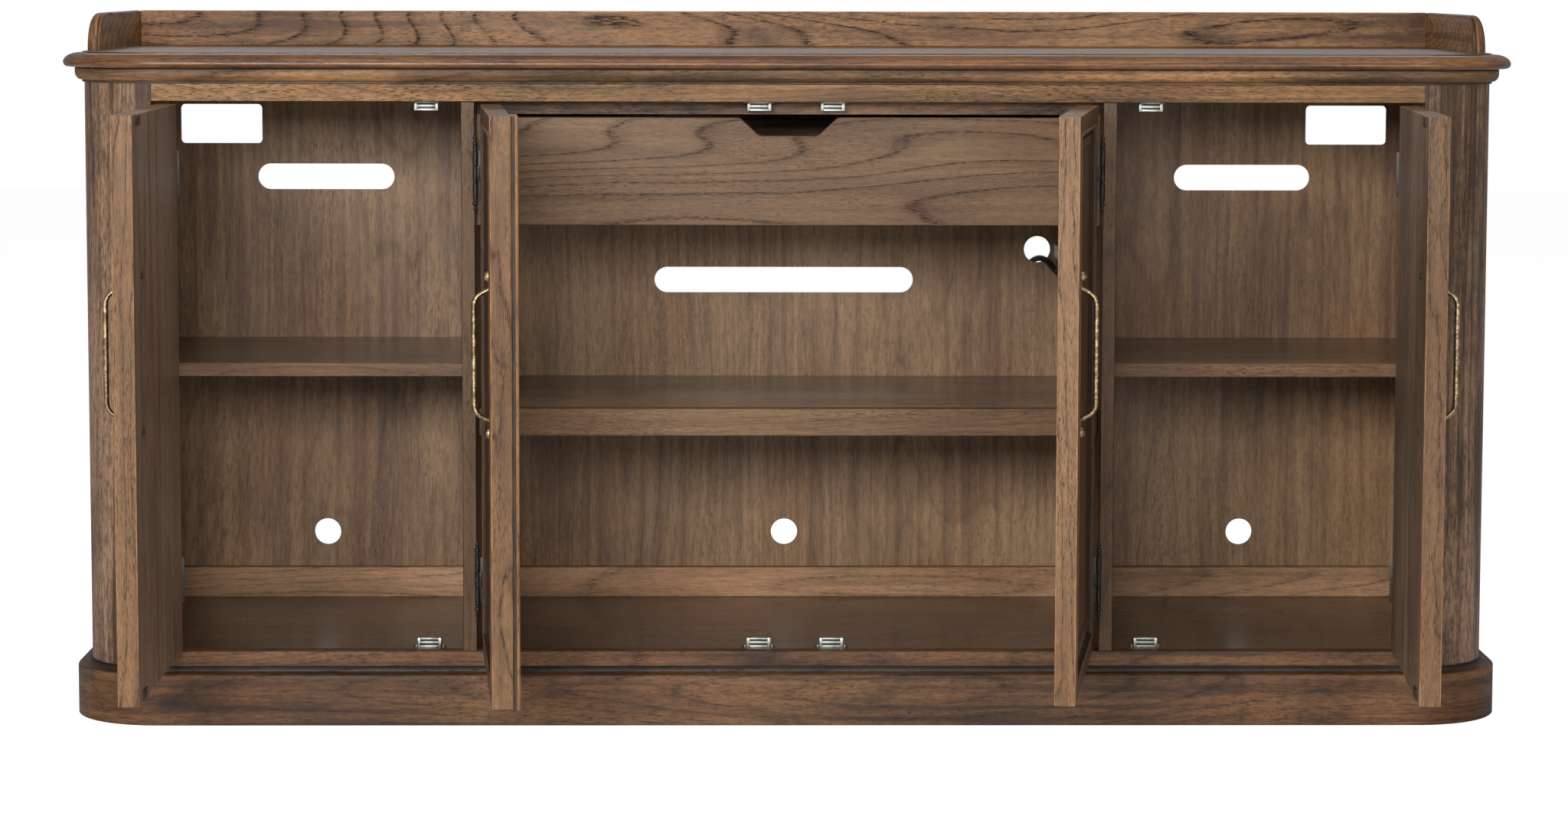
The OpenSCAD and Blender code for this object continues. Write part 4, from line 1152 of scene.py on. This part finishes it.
def make_cord():
    points = cord_route()
    data = bpy.data.curves.new("power_lead", "CURVE")
    data.dimensions = "3D"
    data.bevel_depth = CORD_R * MM
    data.bevel_resolution = 4
    data.use_fill_caps = True
    spline = data.splines.new("POLY")
    spline.points.add(len(points) - 1)
    for knot, p in zip(spline.points, points):
        knot.co = (*at(*p), 1)
    spline.use_smooth = True
    data.materials.append(MATERIALS["cord_rubber"])
    lead = bpy.data.objects.new("power_lead", data)
    scene.collection.objects.link(lead)
    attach(lead, "case")
    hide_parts("power_cord", "cord_coil")
    length = sum(math.dist(a, b) for a, b in zip(points, points[1:])) * MM

    # strain relief: a collar and a ribbed tapering boot
    low, high = node_box("power_outlet")
    base = Vector((low.x + 13.2, high.y, low.z + 8.3))
    piece = Piece()
    collar = local(base, axes=(0, 2, 1))
    piece.lathe([(6.2, 0.02), (6.8, 0.6), (6.8, 2.8), (6.2, 3.4), (5.6, 3.6)], collar, 24)
    foot, tip = base + Vector((0, 3.3, 0)), Vector(WAY_OUT[0])
    d = (tip - foot).normalized()
    u = d.orthogonal().normalized()
    v = d.cross(u)
    span = (tip - foot).length
    outline = [(5.0, 0.2)]
    ribs = 6
    gap = (span - 1.2) / ribs
    for i in range(ribs):
        r, h = 5.9 - 1.2 * i / ribs, 0.6 + gap * i
        outline += [(r, h), (r, h + gap * 0.55), (r - 0.7, h + gap * 0.65), (r - 0.7, h + gap * 0.95)]
    outline += [(4.6, span - 0.5), (4.2, span)]
    piece.lathe(outline, lambda p: face_frame(foot + u * p[0] + v * p[1] + d * p[2]), 24)
    black = "black_plastic"
    piece.finish("strain_relief_boot", "case", black, black, ["cord_strain_relief"], angle=30)

    # tie: a strap with rounded corners round one side of the coil
    piece = Piece()
    cx, cy, half = COIL[0] - sum(COIL_R) / 2, COIL[1], 3.6

    def loop(x, top, bottom, r):
        corners = ((x, top, 0), (-x, top, 90), (-x, bottom, 180), (x, bottom, 270))
        return [point for a, b, turn in corners for point in arc(a, b, r, r, turn, turn + 90, 4)]

    rows = []
    for (ox, oz), (ix, iz) in zip(loop(11, 14.3, 3, 3), loop(10.6, 14.0, 2.2, 2.2)):
        ox, oz, ix, iz = cx + ox, max(oz, 0.0), cx + ix * 0.995, max(iz, 0.4)
        corners = ((ox, -half, oz), (ox, half, oz), (ix, half, iz), (ix, -half, iz))
        rows.append([at(x, cy + y, z) for x, y, z in corners])
    piece.grid(rows, wrap_u=True, wrap_v=True)
    tie = piece.finish("coil_tie", "case", "cord_rubber", black, ["cord_tie"], angle=40)

    # plug: rounded body that swells towards its face, with two blades
    piece = Piece()
    turns = [2 * math.pi * k / PLUG_SIDES for k in range(PLUG_SIDES)]
    squarish = [[math.copysign(abs(v) ** PLUG_POWER, v) for v in (math.cos(a), math.sin(a))] for a in turns]
    # distance from the cord, half width and half height
    sections = (
        (0.0, 4.2, 4.2), (0.4, 5.4, 5.2), (4, 6.2, 5.6), (8, 8.2, 6.6), (13, 10.6, 8.2), (19, 12.2, 9.6),
        (27, 12.9, 10.6), (32, 13.0, 10.9), (35.2, 13.0, 10.9), (36.0, 12.3, 10.2),
    )
    x, y = PLUG
    rows = [[at(x + c * w, y - t, PLUG_Z + s * h) for c, s in squarish] for t, w, h in sections]
    piece.ends(piece.grid(rows, wrap_v=True))
    for blade in (x - BLADE_X, x + BLADE_X):
        low, high = (blade - BLADE_HALF, y - 51.9, 8), (blade + BLADE_HALF, y - 35.5, 14)
        piece.box(low, high, along_z, 0.3, material=1)
    plug = piece.finish("mains_plug", "case", black, [black, "nickel"], ["power_plug"], angle=35)
    at(*WAY_OUT[0])


make_cord()
make_top()
make_mouldings()
make_gallery()
make_case()
make_shelves()
make_drawer()
for door_name in ("outer_left", "inner_left", "inner_right", "outer_right"):
    make_door(door_name)
make_astragal()
make_case_hinges()
make_catches()
make_shelf_pins()
make_outlet()
